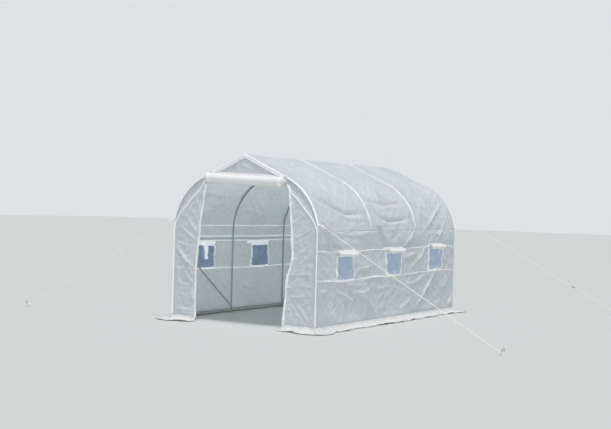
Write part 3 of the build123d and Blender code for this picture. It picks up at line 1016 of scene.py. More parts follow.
@dataclass(frozen=True)
class WindowForm:
    """A window's hole in a wall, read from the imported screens."""

    width: float
    height: float
    sill: float

    @classmethod
    def from_frame(cls, form: TunnelForm) -> "WindowForm":
        """Reads the hole from the box of the right-hand screens."""
        low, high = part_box("window_screens_right")
        return cls(width=high.y - low.y - 2 * form.bay, height=high.z - low.z, sill=low.z)

    @property
    def head(self) -> float:
        """The height of the hole's top."""
        return self.sill + self.height

    @property
    def middle(self) -> float:
        """The height of the hole's middle."""
        return self.sill + self.height / 2


FORM = TunnelForm.from_frame()
WINDOW = WindowForm.from_frame(FORM)
WINDOW_COUNT = 3


# The cover's relief


def along_bay(y: Array) -> Array:
    """How far a place is between its arches: 0 at an arch and 1 in mid-bay, as (4s(1 - s))^0.8."""
    s = np.clip((y - FORM.arches[0]) / FORM.bay, 0.0, 3.0) % 1.0
    return (4.0 * s * (1.0 - s)) ** 0.8


def long_folds(*rows: tuple[float, float, tuple[Place, ...]]) -> tuple[Fold, ...]:
    """Folds of the long sheet, from rows of height, width and places as (way behind the front arch, run)."""
    return tuple(Fold(tuple((run, FORM.arches[0] + back) for back, run in places), *size) for *size, places in rows)


# The named creases of both sides. On the right: tension folds from the front shoulder and the ribs to the window rolls,
# hollows over the shoulder, the brace showing through, and slack folds under the windows. On the left they show from
# inside through the doorway, so a ridge seen there goes inwards.
FOLDS: dict[Side, tuple[Fold, ...]] = {
    Side.RIGHT: long_folds(
        (0.021, 0.015, ((0.00, 1.27), (0.23, 1.10), (0.62, 0.88))),
        (0.018, 0.012, ((0.00, 1.21), (0.18, 1.00), (0.36, 0.85))),
        (-0.024, 0.026, ((0.05, 1.57), (0.31, 1.42), (0.66, 1.31), (1.06, 1.29))),
        (-0.012, 0.014, ((0.60, 1.22), (1.06, 1.20))),
        (0.010, 0.011, ((0.50, 1.07), (0.80, 1.06), (1.09, 1.08))),
        (-0.021, 0.024, ((1.22, 1.50), (1.60, 1.44), (2.20, 1.47))),
        (-0.019, 0.022, ((1.35, 1.25), (1.67, 1.22), (2.22, 1.25))),
        (0.006, 0.014, ((1.41, 1.11), (2.11, 1.13))),
        (0.017, 0.012, ((1.20, 1.24), (1.43, 1.07), (1.62, 0.93))),
        (0.013, 0.011, ((1.17, 1.36), (1.31, 1.16), (1.52, 0.90))),
        (0.015, 0.012, ((2.35, 1.20), (2.20, 1.03), (1.95, 0.90))),
        (0.010, 0.022, ((2.65, 0.97), (2.49, 0.78), (2.17, 0.63))),
        (0.011, 0.016, ((3.44, 1.53), (2.98, 1.32), (2.50, 1.07))),
        (0.008, 0.013, ((3.30, 1.47), (3.11, 1.38), (2.70, 1.17))),
        (0.012, 0.018, ((3.40, 1.38), (3.31, 1.29), (2.95, 0.98), (2.74, 0.74))),
        (0.008, 0.015, ((3.00, 1.08), (2.79, 0.98), (2.53, 0.82))),
        (0.013, 0.013, ((3.10, 0.75), (2.84, 0.52), (2.54, 0.25), (2.40, 0.15))),
        (0.010, 0.014, ((1.21, 0.50), (1.14, 0.41), (1.00, 0.39), (0.83, 0.41))),
        (0.014, 0.019, ((0.89, 0.41), (1.09, 0.33), (1.22, 0.20), (1.34, 0.08))),
        (0.009, 0.013, ((0.50, 0.53), (0.99, 0.48))),
        (0.010, 0.014, ((0.95, 0.54), (1.16, 0.56), (1.56, 0.55))),
        (0.008, 0.012, ((1.32, 0.42), (1.57, 0.43))),
        (0.009, 0.012, ((0.41, 0.45), (0.80, 0.30))),
        (0.009, 0.012, ((0.80, 0.67), (1.22, 0.69))),
        (0.009, 0.015, ((2.00, 0.44), (2.28, 0.44), (2.73, 0.55))),
        (0.012, 0.015, ((3.46, 0.24), (3.33, 0.08))),
        (0.009, 0.014, ((1.99, 0.79), (2.36, 0.81))),
        (0.009, 0.022, ((3.20, 0.19), (2.66, 0.09))),
        (0.009, 0.022, ((2.27, 0.26), (1.91, 0.13))),
        (0.006, 0.010, ((0.04, 0.44), (0.22, 0.43))),
        (0.007, 0.012, ((0.04, 0.54), (0.31, 0.57), (0.50, 0.55))),
    ),
    Side.LEFT: long_folds(
        (0.012, 0.026, ((0.20, 1.55), (0.82, 1.50))),
        (-0.010, 0.014, ((0.78, 1.19), (1.00, 1.32), (1.12, 1.53))),
        (0.011, 0.014, ((1.30, 1.50), (1.60, 1.30), (1.89, 1.13))),
        (-0.007, 0.012, ((1.37, 1.29), (1.64, 1.04))),
        (-0.016, 0.024, ((2.01, 1.01), (2.21, 1.13), (2.34, 1.34))),
        (-0.010, 0.013, ((1.22, 0.78), (1.44, 0.69), (1.58, 0.70))),
        (-0.008, 0.012, ((0.83, 0.72), (1.14, 0.75))),
        (-0.007, 0.011, ((0.81, 0.65), (1.12, 0.62))),
        (-0.011, 0.013, ((0.61, 0.56), (1.16, 0.25))),
        (-0.010, 0.014, ((1.02, 0.48), (1.36, 0.26), (1.66, 0.08))),
        (-0.012, 0.016, ((1.21, 0.41), (1.46, 0.31), (1.88, 0.27))),
        (-0.008, 0.013, ((1.97, 0.31), (2.21, 0.22))),
        (-0.008, 0.013, ((0.49, 0.42), (0.92, 0.35), (1.13, 0.34))),
        (0.012, 0.017, ((3.42, 1.42), (3.05, 1.15), (2.80, 0.93))),
        (0.013, 0.017, ((0.05, 1.25), (0.33, 1.05), (0.60, 0.92))),
        (0.009, 0.014, ((2.62, 0.48), (3.05, 0.52))),
        (0.011, 0.016, ((3.40, 0.62), (3.20, 0.30), (2.95, 0.12))),
    ),
}
# How far each window is off its even place: along the tunnel and upwards.
MOVES: dict[Side, tuple[Place, ...]] = {
    Side.RIGHT: ((0.018, -0.031), (0.030, -0.016), (0.034, 0.016)),
    Side.LEFT: ((0.030, 0.010), (0.038, -0.004), (0.030, 0.0)),
}


@dataclass(frozen=True)
class CoverRelief:
    """How far the long sheet of the cover stands off its plain outline, and how it shifts within itself."""

    fold_gain: float = 1.8
    sag: float = 0.015
    billow: float = 0.008
    creases: float = 0.0098
    fine_creases: float = 0.0030
    tension: float = 0.0075
    tension_fields: tuple[tuple[float, int], ...] = ((0.62, 301), (-0.68, 307), (0.12, 311), (-1.15, 331))
    ridge_bump: float = 0.008
    deepest: float = 0.023
    deeper_above: float = 0.024
    highest: float = 0.06
    spare: float = 0.0009
    shift: float = 0.007
    droops: tuple[float, ...] = (0.010, 0.007, 0.008)
    pulls: tuple[float, ...] = (0.060, 0.050, -0.085)
    end_hollow: float = 0.17
    strip_rows: int = 7
    turn_rows: int = 5

    def slack(self, run: Array, y: Array) -> Array:
        """How free the sheet is.

        Args:
            run: distance from the ground up the outline.
            y: place along the tunnel.

        Returns:
            From 0 on a tube or a sewn edge to 1 between them.
        """
        off_rail = 1.0 - 0.85 * bell(run, FORM.side_rail_z, 0.05)
        off_ridge = 1.0 - 0.8 * bell(run, FORM.ridge_run, 0.06)
        off_foot = smoothstep(FORM.foot_z, FORM.foot_z + 0.08, run)
        return along_bay(y) ** 0.6 * off_rail * off_ridge * off_foot

    def lift(self, run: Array, y: Array, side: Array) -> Array:
        """The sheet's height off its plain outline.

        It is a sag between arches and rails, broad random billows, random creases and the named folds, each
        damped where the sheet lies on a tube, with a bump at the ridge behind each arch. It is never so deep that
        it meets a tube, nor so high that it meets a rolled flap.

        Args:
            run: distance from the ground up the outline, in metres.
            y: place along the tunnel.
            side: 1 on the right and -1 on the left.

        Returns:
            Heights in metres, outwards.
        """
        slack = self.slack(run, y)
        across = side * (FORM.ridge_run - run)
        on_wall = 1.0 - 0.5 * smoothstep(FORM.rafter_run - 0.1, FORM.rafter_run + 0.15, run)
        height = -self.sag * along_bay(y) * slack * on_wall
        height = height + self.billow * slack * gradient_noise(across / 0.55 + 7.0, y / 0.62 + 3.0, 11)
        height = height + self.creases * (0.15 + 0.85 * slack) * on_wall * crumple(across, y, 0.34, 23)
        off_tubes = smoothstep(0.0, 0.3, slack)
        height = height + self.fine_creases * off_tubes * crumple(across * 0.7, y, 0.10, 41, octaves=2)
        calm = 0.6 + 0.4 * smoothstep(0.35, 0.65, run)
        for turn, seed in self.tension_fields:
            height = height + self.tension * calm * slack * on_wall * streaks(across, y, turn, seed)
        for where, folds in FOLDS.items():
            total = self.fold_gain * folds_lift(folds, run, y) * (0.3 + 0.7 * np.minimum(slack * 2.0, 1.0))
            height = height + np.where(side == where.value, total, 0.0)
        for arch in FORM.arches[:-1]:
            height = height + self.ridge_bump * bell(y, arch + 0.07, 0.05) * bell(run, FORM.ridge_run, 0.10)
        height = height * smoothstep(FORM.foot_z - 0.02, FORM.foot_z + 0.05, run)
        under = self.under_flap(run, y)
        height = np.where(height > 0, height * (1.0 - 0.9 * under), height)
        return np.clip(height, self.floor(run, y), SHEET_THICKNESS + self.highest * (1.0 - under))

    def floor(self, run: Array, y: Array) -> Array:
        """The deepest that the sheet may go: onto the tubes, and above the braces between them.

        Args:
            run: distance from the ground up the outline.
            y: place along the tunnel.

        Returns:
            Heights off the outline, below 0.
        """
        above = smoothstep(FORM.spring_z + 0.08, FORM.spring_z + 0.22, run)
        deepest = -self.deepest - self.deeper_above * above + np.zeros(np.shape(y))
        tubes = [(np.abs(y - arch), FORM.tube_radius) for arch in FORM.arches]
        tubes += [(np.abs(run - rail), FORM.rail_radius) for rail in (FORM.side_rail_z, FORM.ridge_run)]
        for gap, radius in tubes:
            round_ = np.sqrt(np.maximum(radius**2 - gap**2, 0.0)) + self.spare - FORM.wrap
            deepest = np.where(gap < radius, np.maximum(deepest, round_), deepest)
        return deepest

    def under_flap(self, run: Array, y: Array) -> Array:
        """How far a place is under a rolled flap, where the sheet lies nearly flat.

        Args:
            run: distance from the ground up the outline.
            y: place along the tunnel.

        Returns:
            From 0 to 1.
        """
        under = np.zeros(np.shape(run))
        for number in range(WINDOW_COUNT):
            off_middle = np.abs(y - FORM.window_y(number))
            along = 1.0 - smoothstep(WINDOW.width / 2 + 0.02, WINDOW.width / 2 + 0.10, off_middle)
            up = smoothstep(WINDOW.head - 0.03, WINDOW.head - 0.005, run) * smoothstep(-1.06, -0.92, -run)
            under = np.maximum(under, along * up)
        return under

    def drift(self, run: Array, y: Array, side: Array) -> tuple[Array, Array]:
        """How far the sheet shifts within itself, along the tunnel and up the wall.

        It wanders at random, and round each window it hangs down in the middle while the window's sides are pulled
        in at half their height.

        Args:
            run: distance from the ground up the outline.
            y: place along the tunnel.
            side: 1 on the right and -1 on the left.

        Returns:
            The shift along the tunnel, and the shift upwards.
        """
        free = self.shift * self.slack(run, y) * smoothstep(FORM.spring_z + 0.2, FORM.spring_z - 0.1, run)
        along = free * gradient_noise(run / 0.23 + side * 5.0, y / 0.31, 71)
        up = free * gradient_noise(run / 0.27, y / 0.29 + side * 5.0, 83)
        for number, droop in enumerate(self.droops):
            off = y - FORM.window_y(number)
            along = along - self.pulls[number] * off * bell(run, WINDOW.middle, 0.11) * np.exp(-((off / 0.30) ** 4))
            up = up - droop * bell(off, 0.0, 0.22) * bell(run, WINDOW.middle - 0.05, 0.22)
            near = bell(off, 0.0, 0.42) * bell(run, WINDOW.middle, 0.34) * smoothstep(0.06, 0.4, run)
            for where, moves in MOVES.items():
                here = near * (side == where.value)
                along, up = along + moves[number][0] * here, up + moves[number][1] * here
        return along, up

    def place(self, run: Array, along: Array, side: Array | int, proud: float | Array = 0.0) -> Array:
        """Places on the sheet, or a little proud of it.

        Past an end arch the sheet turns round the tube by the quarter circle (1 - cos, sin) and then lies on the
        end face, where it runs inwards and is slightly hollow.

        Args:
            run: distance from the ground up the outline, in metres.
            along: distance along the sheet, which is Y between the end arches.
            side: 1 on the right and -1 on the left.
            proud: extra height off the sheet.

        Returns:
            An array with X, Y and Z last.
        """
        run, along, side, proud = np.broadcast_arrays(*(np.asarray(a, float) for a in (run, along, side, proud)))
        first, last = FORM.arches[0], FORM.arches[-1]
        y = np.clip(along, first, last)
        sign = np.sign(along - y)
        past = np.abs(along - y)
        angle = np.clip(past / FORM.wrap, 0.0, np.pi / 2)
        on_face = np.maximum(past - FORM.quarter, 0.0)
        inset = np.where(sign < 0, FORM.inset(run, End.FRONT), FORM.inset(run, End.REAR))
        hollow = self.end_hollow * inset * np.sin(np.pi * np.clip(on_face / inset, 0.0, 1.0))
        hollow = hollow * (1.0 + 0.5 * gradient_noise(run / 0.07, on_face / 0.05 + side * 3.0, 57))
        x, z = FORM.inwards(run, FORM.wrap * (1.0 - np.cos(angle)) + on_face)
        _, _, normal_x, normal_z = FORM.outline(run)
        out = (self.lift(run, y, side) + proud) * np.cos(angle) - FORM.cad_sheet / 2 * (past == 0.0)
        start_x, start_z = FORM.inwards(run, FORM.wrap * (1.0 - np.cos(angle)) + on_face + FORM.cad_sheet / 2)
        x, z = np.where(past > 0.0, start_x, x), np.where(past > 0.0, start_z, z)
        drift_y, drift_z = self.drift(run, y, side)
        y = y + sign * (FORM.wrap * np.sin(angle) + proud * np.sin(angle) - hollow) + drift_y
        return np.stack([side * (x + normal_x * out), y, z + normal_z * out + drift_z], axis=-1)

    def lengthwise(self, run: Array, inner: Array) -> Array:
        """Distances along the sheet for each run: its strips on both end faces, its quarter turns and the rest.

        Args:
            run: one run for each row.
            inner: the distances between the end arches, both included.

        Returns:
            Rows by columns.
        """
        strip, turn = (np.linspace(1.0, 0.0, rows + 1)[:-1] for rows in (self.strip_rows, self.turn_rows))
        flat = np.broadcast_to(inner, (len(run), len(inner)))
        parts = {}
        for end in End:
            on_turn = np.broadcast_to(FORM.quarter * turn, (len(run), self.turn_rows))
            on_face = FORM.quarter + FORM.inset(run, end)[:, None] * strip
            parts[end] = FORM.arch(end) + end.value * np.concatenate([on_face, on_turn], axis=1)
        return np.concatenate([parts[End.FRONT], flat, parts[End.REAR][:, ::-1]], axis=1)


RELIEF = CoverRelief()


# The long sheet: roof and walls


@dataclass(frozen=True)
class CoverSheets:
    """The roof sheet and the two wall sheets, joined by a seam a little above the spring of the arches."""

    seam_run: float = 1.10
    roof_step: float = 0.0172
    wall_step: float = 0.0110

    def build(self) -> None:
        self.roof()
        for side in Side:
            self.wall(side)

    def spread(self, marks: Sequence[float], step: float) -> Array:
        """Places about a step apart that take in every mark."""
        spans = [np.linspace(a, b, max(2, round((b - a) / step) + 1))[:-1] for a, b in zip(marks[:-1], marks[1:])]
        return np.concatenate([*spans, [marks[-1]]])

    def roof(self) -> None:
        """Builds the roof sheet: the outline's run and the place along the tunnel are its two parameters."""
        half = FORM.ridge_run - self.seam_run
        across = self.spread([-half, 0.0, half], self.roof_step)
        run = FORM.ridge_run - np.abs(across)
        along = RELIEF.lengthwise(run, self.spread(FORM.arches, self.roof_step))
        side = np.where(across >= 0, 1.0, -1.0)[:, None]
        runs = np.broadcast_to(run[:, None], along.shape)
        white = np.where(side > 0, *(folds_white(FOLDS[where], runs, along) for where in Side))
        held_by = ["front_arch_bows", "second_arch_bows", "third_arch_bows", "rear_arch_bows", "ridge_rail"]
        nodes = [f"cover_{part}_{where.word}" for part in ("shoulder", "slope") for where in Side]
        add_sheet(
            "roof_sheet", RELIEF.place(runs, along, side), together(along, across[:, None]), "stretched", held_by,
            Finish.COVER, *nodes, flip=True, white=white,
        )

    def wall(self, side: Side) -> None:
        """Builds a wall sheet, with holes where its windows are: grid lines lie on the edges of the holes.

        Args:
            side: which wall.
        """
        middles = [FORM.window_y(number) for number in range(WINDOW_COUNT)]
        edges = [middle + sign * WINDOW.width / 2 for middle in middles for sign in (-1, 1)]
        inner = self.spread(sorted([*FORM.arches, *edges]), self.wall_step)
        run = self.spread([FORM.foot_z, WINDOW.sill, WINDOW.head, self.seam_run], self.wall_step)
        along = RELIEF.lengthwise(run, inner)
        runs = np.broadcast_to(run[:, None], along.shape)
        centre_run, centre = (run[:-1] + run[1:]) / 2, (along[:-1, :-1] + along[1:, 1:]) / 2
        in_width = sum(np.abs(centre - middle) < WINDOW.width / 2 for middle in middles) > 0
        keep = ~(in_width & (np.abs(centre_run - WINDOW.middle) < WINDOW.height / 2)[:, None])
        add_sheet(
            f"wall_sheet_{side.word}", RELIEF.place(runs, along, side.value), together(along, runs), "hung",
            [f"side_rail_{side.word}", f"arch_legs_{side.word}"], Finish.COVER, f"cover_wall_{side.word}",
            flip=side is Side.LEFT, keep=keep, white=folds_white(FOLDS[side], runs, along),
        )


@dataclass(frozen=True)
class Welts:
    """Flat bars along one side of the tunnel, through the sheet, from one end's seam to the other's."""

    name: str
    side: Side
    runs: tuple[float, ...]
    width: float
    rise: float
    finish: Finish = Finish.BINDING
    points: int = 340

    def build(self) -> None:
        """Builds one bar for each run up the outline."""
        across, lift = tape_section(self.width, self.rise, 8)
        parts = []
        for run in self.runs:
            along = RELIEF.lengthwise(np.array([run]), np.linspace(*FORM.arches[::3], self.points))[0][:, None]
            places = RELIEF.place(run + across, along, self.side.value, proud=lift)
            parts.append((places, together(along, across)))
        add_strip(self.name, parts, self.finish)


@dataclass(frozen=True)
class SeamTapes:
    """Welts along the walls, the plain seam under the right shoulder, and tapes over the middle arches."""

    welts: tuple[Welts, ...] = (
        Welts("wall_welts_right", Side.RIGHT, (0.566, 0.885), width=0.0096, rise=0.00288),
        Welts(
            "wall_welts_left", Side.LEFT, (0.566, 0.910, 0.964, 1.10), width=0.012, rise=0.0036,
            finish=Finish.INNER_TAPE,
        ),
        Welts("shoulder_seam_right", Side.RIGHT, (CoverSheets.seam_run,), width=0.006, rise=0.0010),
    )
    rib_width: float = 0.040
    rib_rise: float = 0.0020
    rib_end: float = 1.12
    rib_proud: float = 0.0012
    narrowest: float = 0.25

    def build(self) -> None:
        """Builds the welts, and the tapes from shoulder to shoulder, which narrow at their ends."""
        for welt in self.welts:
            welt.build()
        span = FORM.ridge_run - self.rib_end
        position = np.linspace(-span, span, 300)[:, None]
        across, rise = tape_section(self.rib_width, self.rib_rise)
        run, side = FORM.ridge_run - np.abs(position), np.where(position >= 0, 1.0, -1.0)
        narrowed = smoothstep(self.rib_end, self.rib_end + 0.18, run)
        across_here = across * (self.narrowest + (1.0 - self.narrowest) * narrowed)
        add_strip(
            "rib_tapes",
            [
                (RELIEF.place(run, arch + across_here, side, proud=rise + self.rib_proud), together(position, across))
                for arch in FORM.arches[1:-1]
            ],
            Finish.BINDING,
        )


# Ends of the tunnel


@dataclass(frozen=True)
class EndSheet:
    """A sheet across an end, between the turned-in edges of the long sheet, which overlap it.

    With a side it runs from an inner edge to the seam, and without one from the left seam to the right one. It has a
    hollow, random creases and named folds as (X, Z), which are damped at the seam and at the ground.
    """

    end: End
    name: str
    node: str
    sag: float
    seed: int
    columns: int
    folds: tuple[Fold, ...]
    side: Side | None = None
    rough: float = 1.0
    fold_gain: float = 1.45
    creases: float = 0.0070
    fine_creases: float = 0.0026
    tension: float = 0.0042
    turns: tuple[float, ...] = (0.55, -0.45, 1.2)
    overlap: float = 0.008
    behind: float = 0.0013

    def build(self, heights: Array, inner: Array | None = None) -> None:
        """Builds the sheet as rows.

        Args:
            heights: the height of each row.
            inner: how far each row's inner edge is from the middle, where the sheet has a side.
        """
        part = np.linspace(0.0, 1.0, self.columns)[None, :]
        outer = np.maximum(FORM.seam_width(heights, self.end) + self.overlap, 0.004)[:, None]
        from_x = -outer if inner is None else inner[:, None]
        x = (self.side.value if self.side else 1) * (from_x + (outer - from_x) * part)
        z = np.broadcast_to(heights[:, None], x.shape)
        hung = [f"{self.end.word}_arch_bows"] + ([f"arch_legs_{self.side.word}"] if self.side else [])
        add_sheet(
            self.name, self.place(x, z), together(x, z), "hung", hung, Finish.COVER, self.node,
            flip=(self.end is End.REAR) != (self.side is Side.LEFT), white=folds_white(self.folds, x, z),
        )

    def place(self, x: Array, z: Array, proud: Array | float = 0.0) -> Array:
        """Places on the sheet, or a little proud of it.

        Args:
            x: distance from the middle, with its sign.
            z: height.
            proud: extra height off the sheet.

        Returns:
            An array with X, Y and Z last.
        """
        gap = FORM.seam_width(z, self.end) - np.abs(x)
        free = smoothstep(0.0, 0.09, gap) * smoothstep(FORM.foot_z, FORM.foot_z + 0.06, z)
        rough = self.rough * free
        out = -self.sag * free + self.creases * rough * crumple(x, z, 0.26, self.seed)
        out = out + self.fine_creases * rough * crumple(x, z, 0.075, self.seed + 30, octaves=2)
        for number, turn in enumerate(self.turns):
            out = out + self.tension * rough * streaks(x, z, turn, self.seed + 40 + number, 0.5, 0.14)
        out = out + self.fold_gain * folds_lift(self.folds, x, z) * free
        return together(x, FORM.face(self.end) + self.end.value * (out + proud - self.behind), z)


RIGHT_PANEL = EndSheet(
    End.FRONT, "front_sheet_right", "front_panel_right", sag=0.006, seed=102, columns=48, side=Side.RIGHT,
    folds=(
        Fold(((0.62, 1.575), (0.78, 1.37), (0.975, 1.17)), 0.016, 0.012, 0.2),
        Fold(((0.66, 1.575), (0.80, 1.44), (0.93, 1.26)), -0.012, 0.016, 0.0),
        Fold(((0.66, 0.98), (0.95, 1.14)), 0.007, 0.014),
        Fold(((0.61, 0.61), (0.98, 0.63)), 0.006, 0.010),
        Fold(((0.60, 0.36), (0.97, 0.40)), 0.006, 0.010),
        Fold(((0.63, 0.33), (0.83, 0.09)), 0.006, 0.012),
        Fold(((0.69, 0.35), (0.93, 0.09)), 0.006, 0.012),
        Fold(((0.70, 0.80), (0.93, 0.96)), 0.005, 0.016),
    ),
)
LEFT_PANEL = EndSheet(
    End.FRONT, "front_sheet_left", "front_panel_left", sag=0.006, seed=100, columns=48, side=Side.LEFT,
    folds=(
        Fold(((-0.57, 1.585), (-0.68, 1.50), (-0.82, 1.35), (-0.92, 1.20)), 0.014, 0.012, 0.2),
        Fold(((-0.83, 1.23), (-0.64, 1.01)), 0.008, 0.014),
        Fold(((-0.88, 1.08), (-0.66, 0.93)), 0.009, 0.013),
        Fold(((-0.96, 0.91), (-0.74, 0.86)), 0.006, 0.012),
        Fold(((-0.97, 0.86), (-0.82, 0.72), (-0.66, 0.60)), 0.014, 0.018),
        Fold(((-0.82, 0.58), (-0.75, 0.49), (-0.66, 0.41)), 0.011, 0.014),
        Fold(((-0.96, 0.44), (-0.67, 0.40)), 0.006, 0.011),
        Fold(((-0.98, 0.60), (-0.64, 0.60)), 0.005, 0.009),
        Fold(((-0.71, 1.45), (-0.62, 1.32)), 0.007, 0.012),
        Fold(((-0.95, 0.12), (-0.68, 0.13)), 0.006, 0.012),
    ),
)
GABLE = EndSheet(
    End.FRONT, "gable_sheet", "front_gable", sag=0.009, seed=151, columns=130, rough=0.45,
    folds=(
        Fold(((-0.08, 1.84), (0.12, 1.76)), 0.006, 0.010),
        Fold(((-0.45, 1.66), (-0.15, 1.72)), 0.005, 0.014),
        Fold(((0.10, 1.69), (0.42, 1.66)), 0.005, 0.012),
    ),
)
REAR_STEP = 0.0180
REAR_PANEL = EndSheet(
    End.REAR, "rear_sheet", "rear_panel", sag=0.009, seed=201, columns=round(2 * FORM.wall_x / REAR_STEP), rough=1.8,
    folds=(
        Fold(((0.90, 1.25), (0.55, 0.95), (0.30, 0.62)), 0.013, 0.018),
        Fold(((-0.90, 1.28), (-0.60, 1.05), (-0.25, 0.90)), 0.012, 0.018),
        Fold(((0.05, 1.82), (0.00, 1.45)), 0.008, 0.018),
        Fold(((-0.95, 0.70), (-0.50, 0.42), (-0.15, 0.30)), 0.010, 0.018),
        Fold(((0.95, 0.45), (0.62, 0.26), (0.40, 0.12)), 0.010, 0.018),
        Fold(((-0.80, 0.15), (-0.20, 0.19), (0.30, 0.13)), 0.008, 0.018),
        Fold(((-0.98, 0.60), (0.0, 0.605), (0.98, 0.60)), 0.004, 0.012),
        Fold(((-0.98, 1.10), (0.0, 1.095), (0.98, 1.10)), 0.004, 0.012),
    ),
)


@dataclass(frozen=True)
class EndWalls:
    """The two panels beside the doorway, the gable over it, and the plain sheet across the rear end."""

    step: float = 0.0104
    gable_rows: int = 36
    # The doorway's slack edges: height and distance from the middle.
    right_edge: tuple[Place, ...] = (
        (0.0, 0.556), (0.37, 0.588), (0.546, 0.603), (0.618, 0.614), (0.691, 0.639), (0.764, 0.664), (0.835, 0.676),
        (0.93, 0.664), (1.148, 0.645), (1.431, 0.619), (1.6, 0.600),
    )
    left_edge: tuple[Place, ...] = (
        (0.0, 0.633), (0.17, 0.651), (0.41, 0.648), (0.622, 0.647), (0.774, 0.631), (0.973, 0.610), (1.242, 0.587),
        (1.49, 0.545), (1.6, 0.527),
    )

    @property
    def door_top(self) -> float:
        """The height of the doorway's top edge."""
        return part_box("front_gable")[0].z

    def door_edge(self, z: Array, side: Side) -> Array:
        """How far the doorway's slack edge is from the middle at a height."""
        return curve_through(self.right_edge if side is Side.RIGHT else self.left_edge, z)

    def panel_place(self, x: Array, z: Array, side: Side, proud: Array | float = 0.0) -> Array:
        """Places on a panel, from the distance from the middle and the height."""
        return (RIGHT_PANEL if side is Side.RIGHT else LEFT_PANEL).place(side.value * x, z, proud)

    def build(self) -> None:
        """Builds the four sheets as rows, the gable's and the rear sheet's last ones short and under the ridge."""
        heights = np.linspace(FORM.foot_z, self.door_top + 0.02, round((self.door_top - FORM.foot_z) / self.step))
        for panel in (RIGHT_PANEL, LEFT_PANEL):
            panel.build(heights, self.door_edge(heights, panel.side))
        GABLE.build(np.linspace(self.door_top, FORM.seam_top(End.FRONT), self.gable_rows))
        top = FORM.seam_top(End.REAR)
        REAR_PANEL.build(np.linspace(FORM.foot_z, top, round((top - FORM.foot_z) / REAR_STEP)))


@dataclass(frozen=True)
class EndSeams:
    """The seams where the long sheet's turned-in edges meet the end sheets: a flat tape with piping on it.

    A second tape covers the sheet where it goes round the bows and rafters of the arch.
    """

    tape: float = 0.016
    rise: float = 0.0016
    piping: float = 0.0062
    corner: float = 0.020
    corner_rise: float = 0.0022
    narrowest: float = 0.35
    proud: float = 0.001
    lap: float = 0.003
    piping_proud: float = 0.0012
    corner_at: float = 0.42
    points: int = 380

    def build(self) -> None:
        """Builds tape and piping for both ends, from ground to ground under the ridge."""
        span = FORM.ridge_run - FORM.foot_z
        position = np.linspace(-span, span, self.points)
        side = np.where(position >= 0, 1.0, -1.0)
        run = FORM.ridge_run - np.abs(position)
        across, rise = tape_section(self.tape, self.rise)
        corner, corner_rise = tape_section(self.corner, self.corner_rise)
        high = run > FORM.spring_z + 0.06
        narrowed = smoothstep(FORM.spring_z + 0.05, FORM.spring_z + 0.22, run[high])[:, None]
        narrowed = self.narrowest + (1.0 - self.narrowest) * narrowed
        parts = []
        for end in End:
            depth = FORM.wrap + FORM.inset(run, end)
            x, z = FORM.inwards(run[:, None], depth[:, None] + across + self.tape / 2 - self.lap)
            tape = together(side[:, None] * x, FORM.face(end) + end.value * rise, z)
            parts.append((tape, together(position[:, None], across)))
            x, z = FORM.inwards(run, depth)
            path = together(side * x, np.array(FORM.face(end) + end.value * self.piping_proud), z)
            parts.append(bar_along(path, self.piping, 8))
            along = FORM.arch(end) + end.value * (FORM.quarter * self.corner_at + corner * narrowed)
            places = RELIEF.place(run[high][:, None], along, side[high][:, None], proud=corner_rise + self.proud)
            parts.append((places, together(position[high][:, None], corner)))
        add_strip("end_hems", parts, Finish.BINDING, "end_bindings")


# Rolls and ties


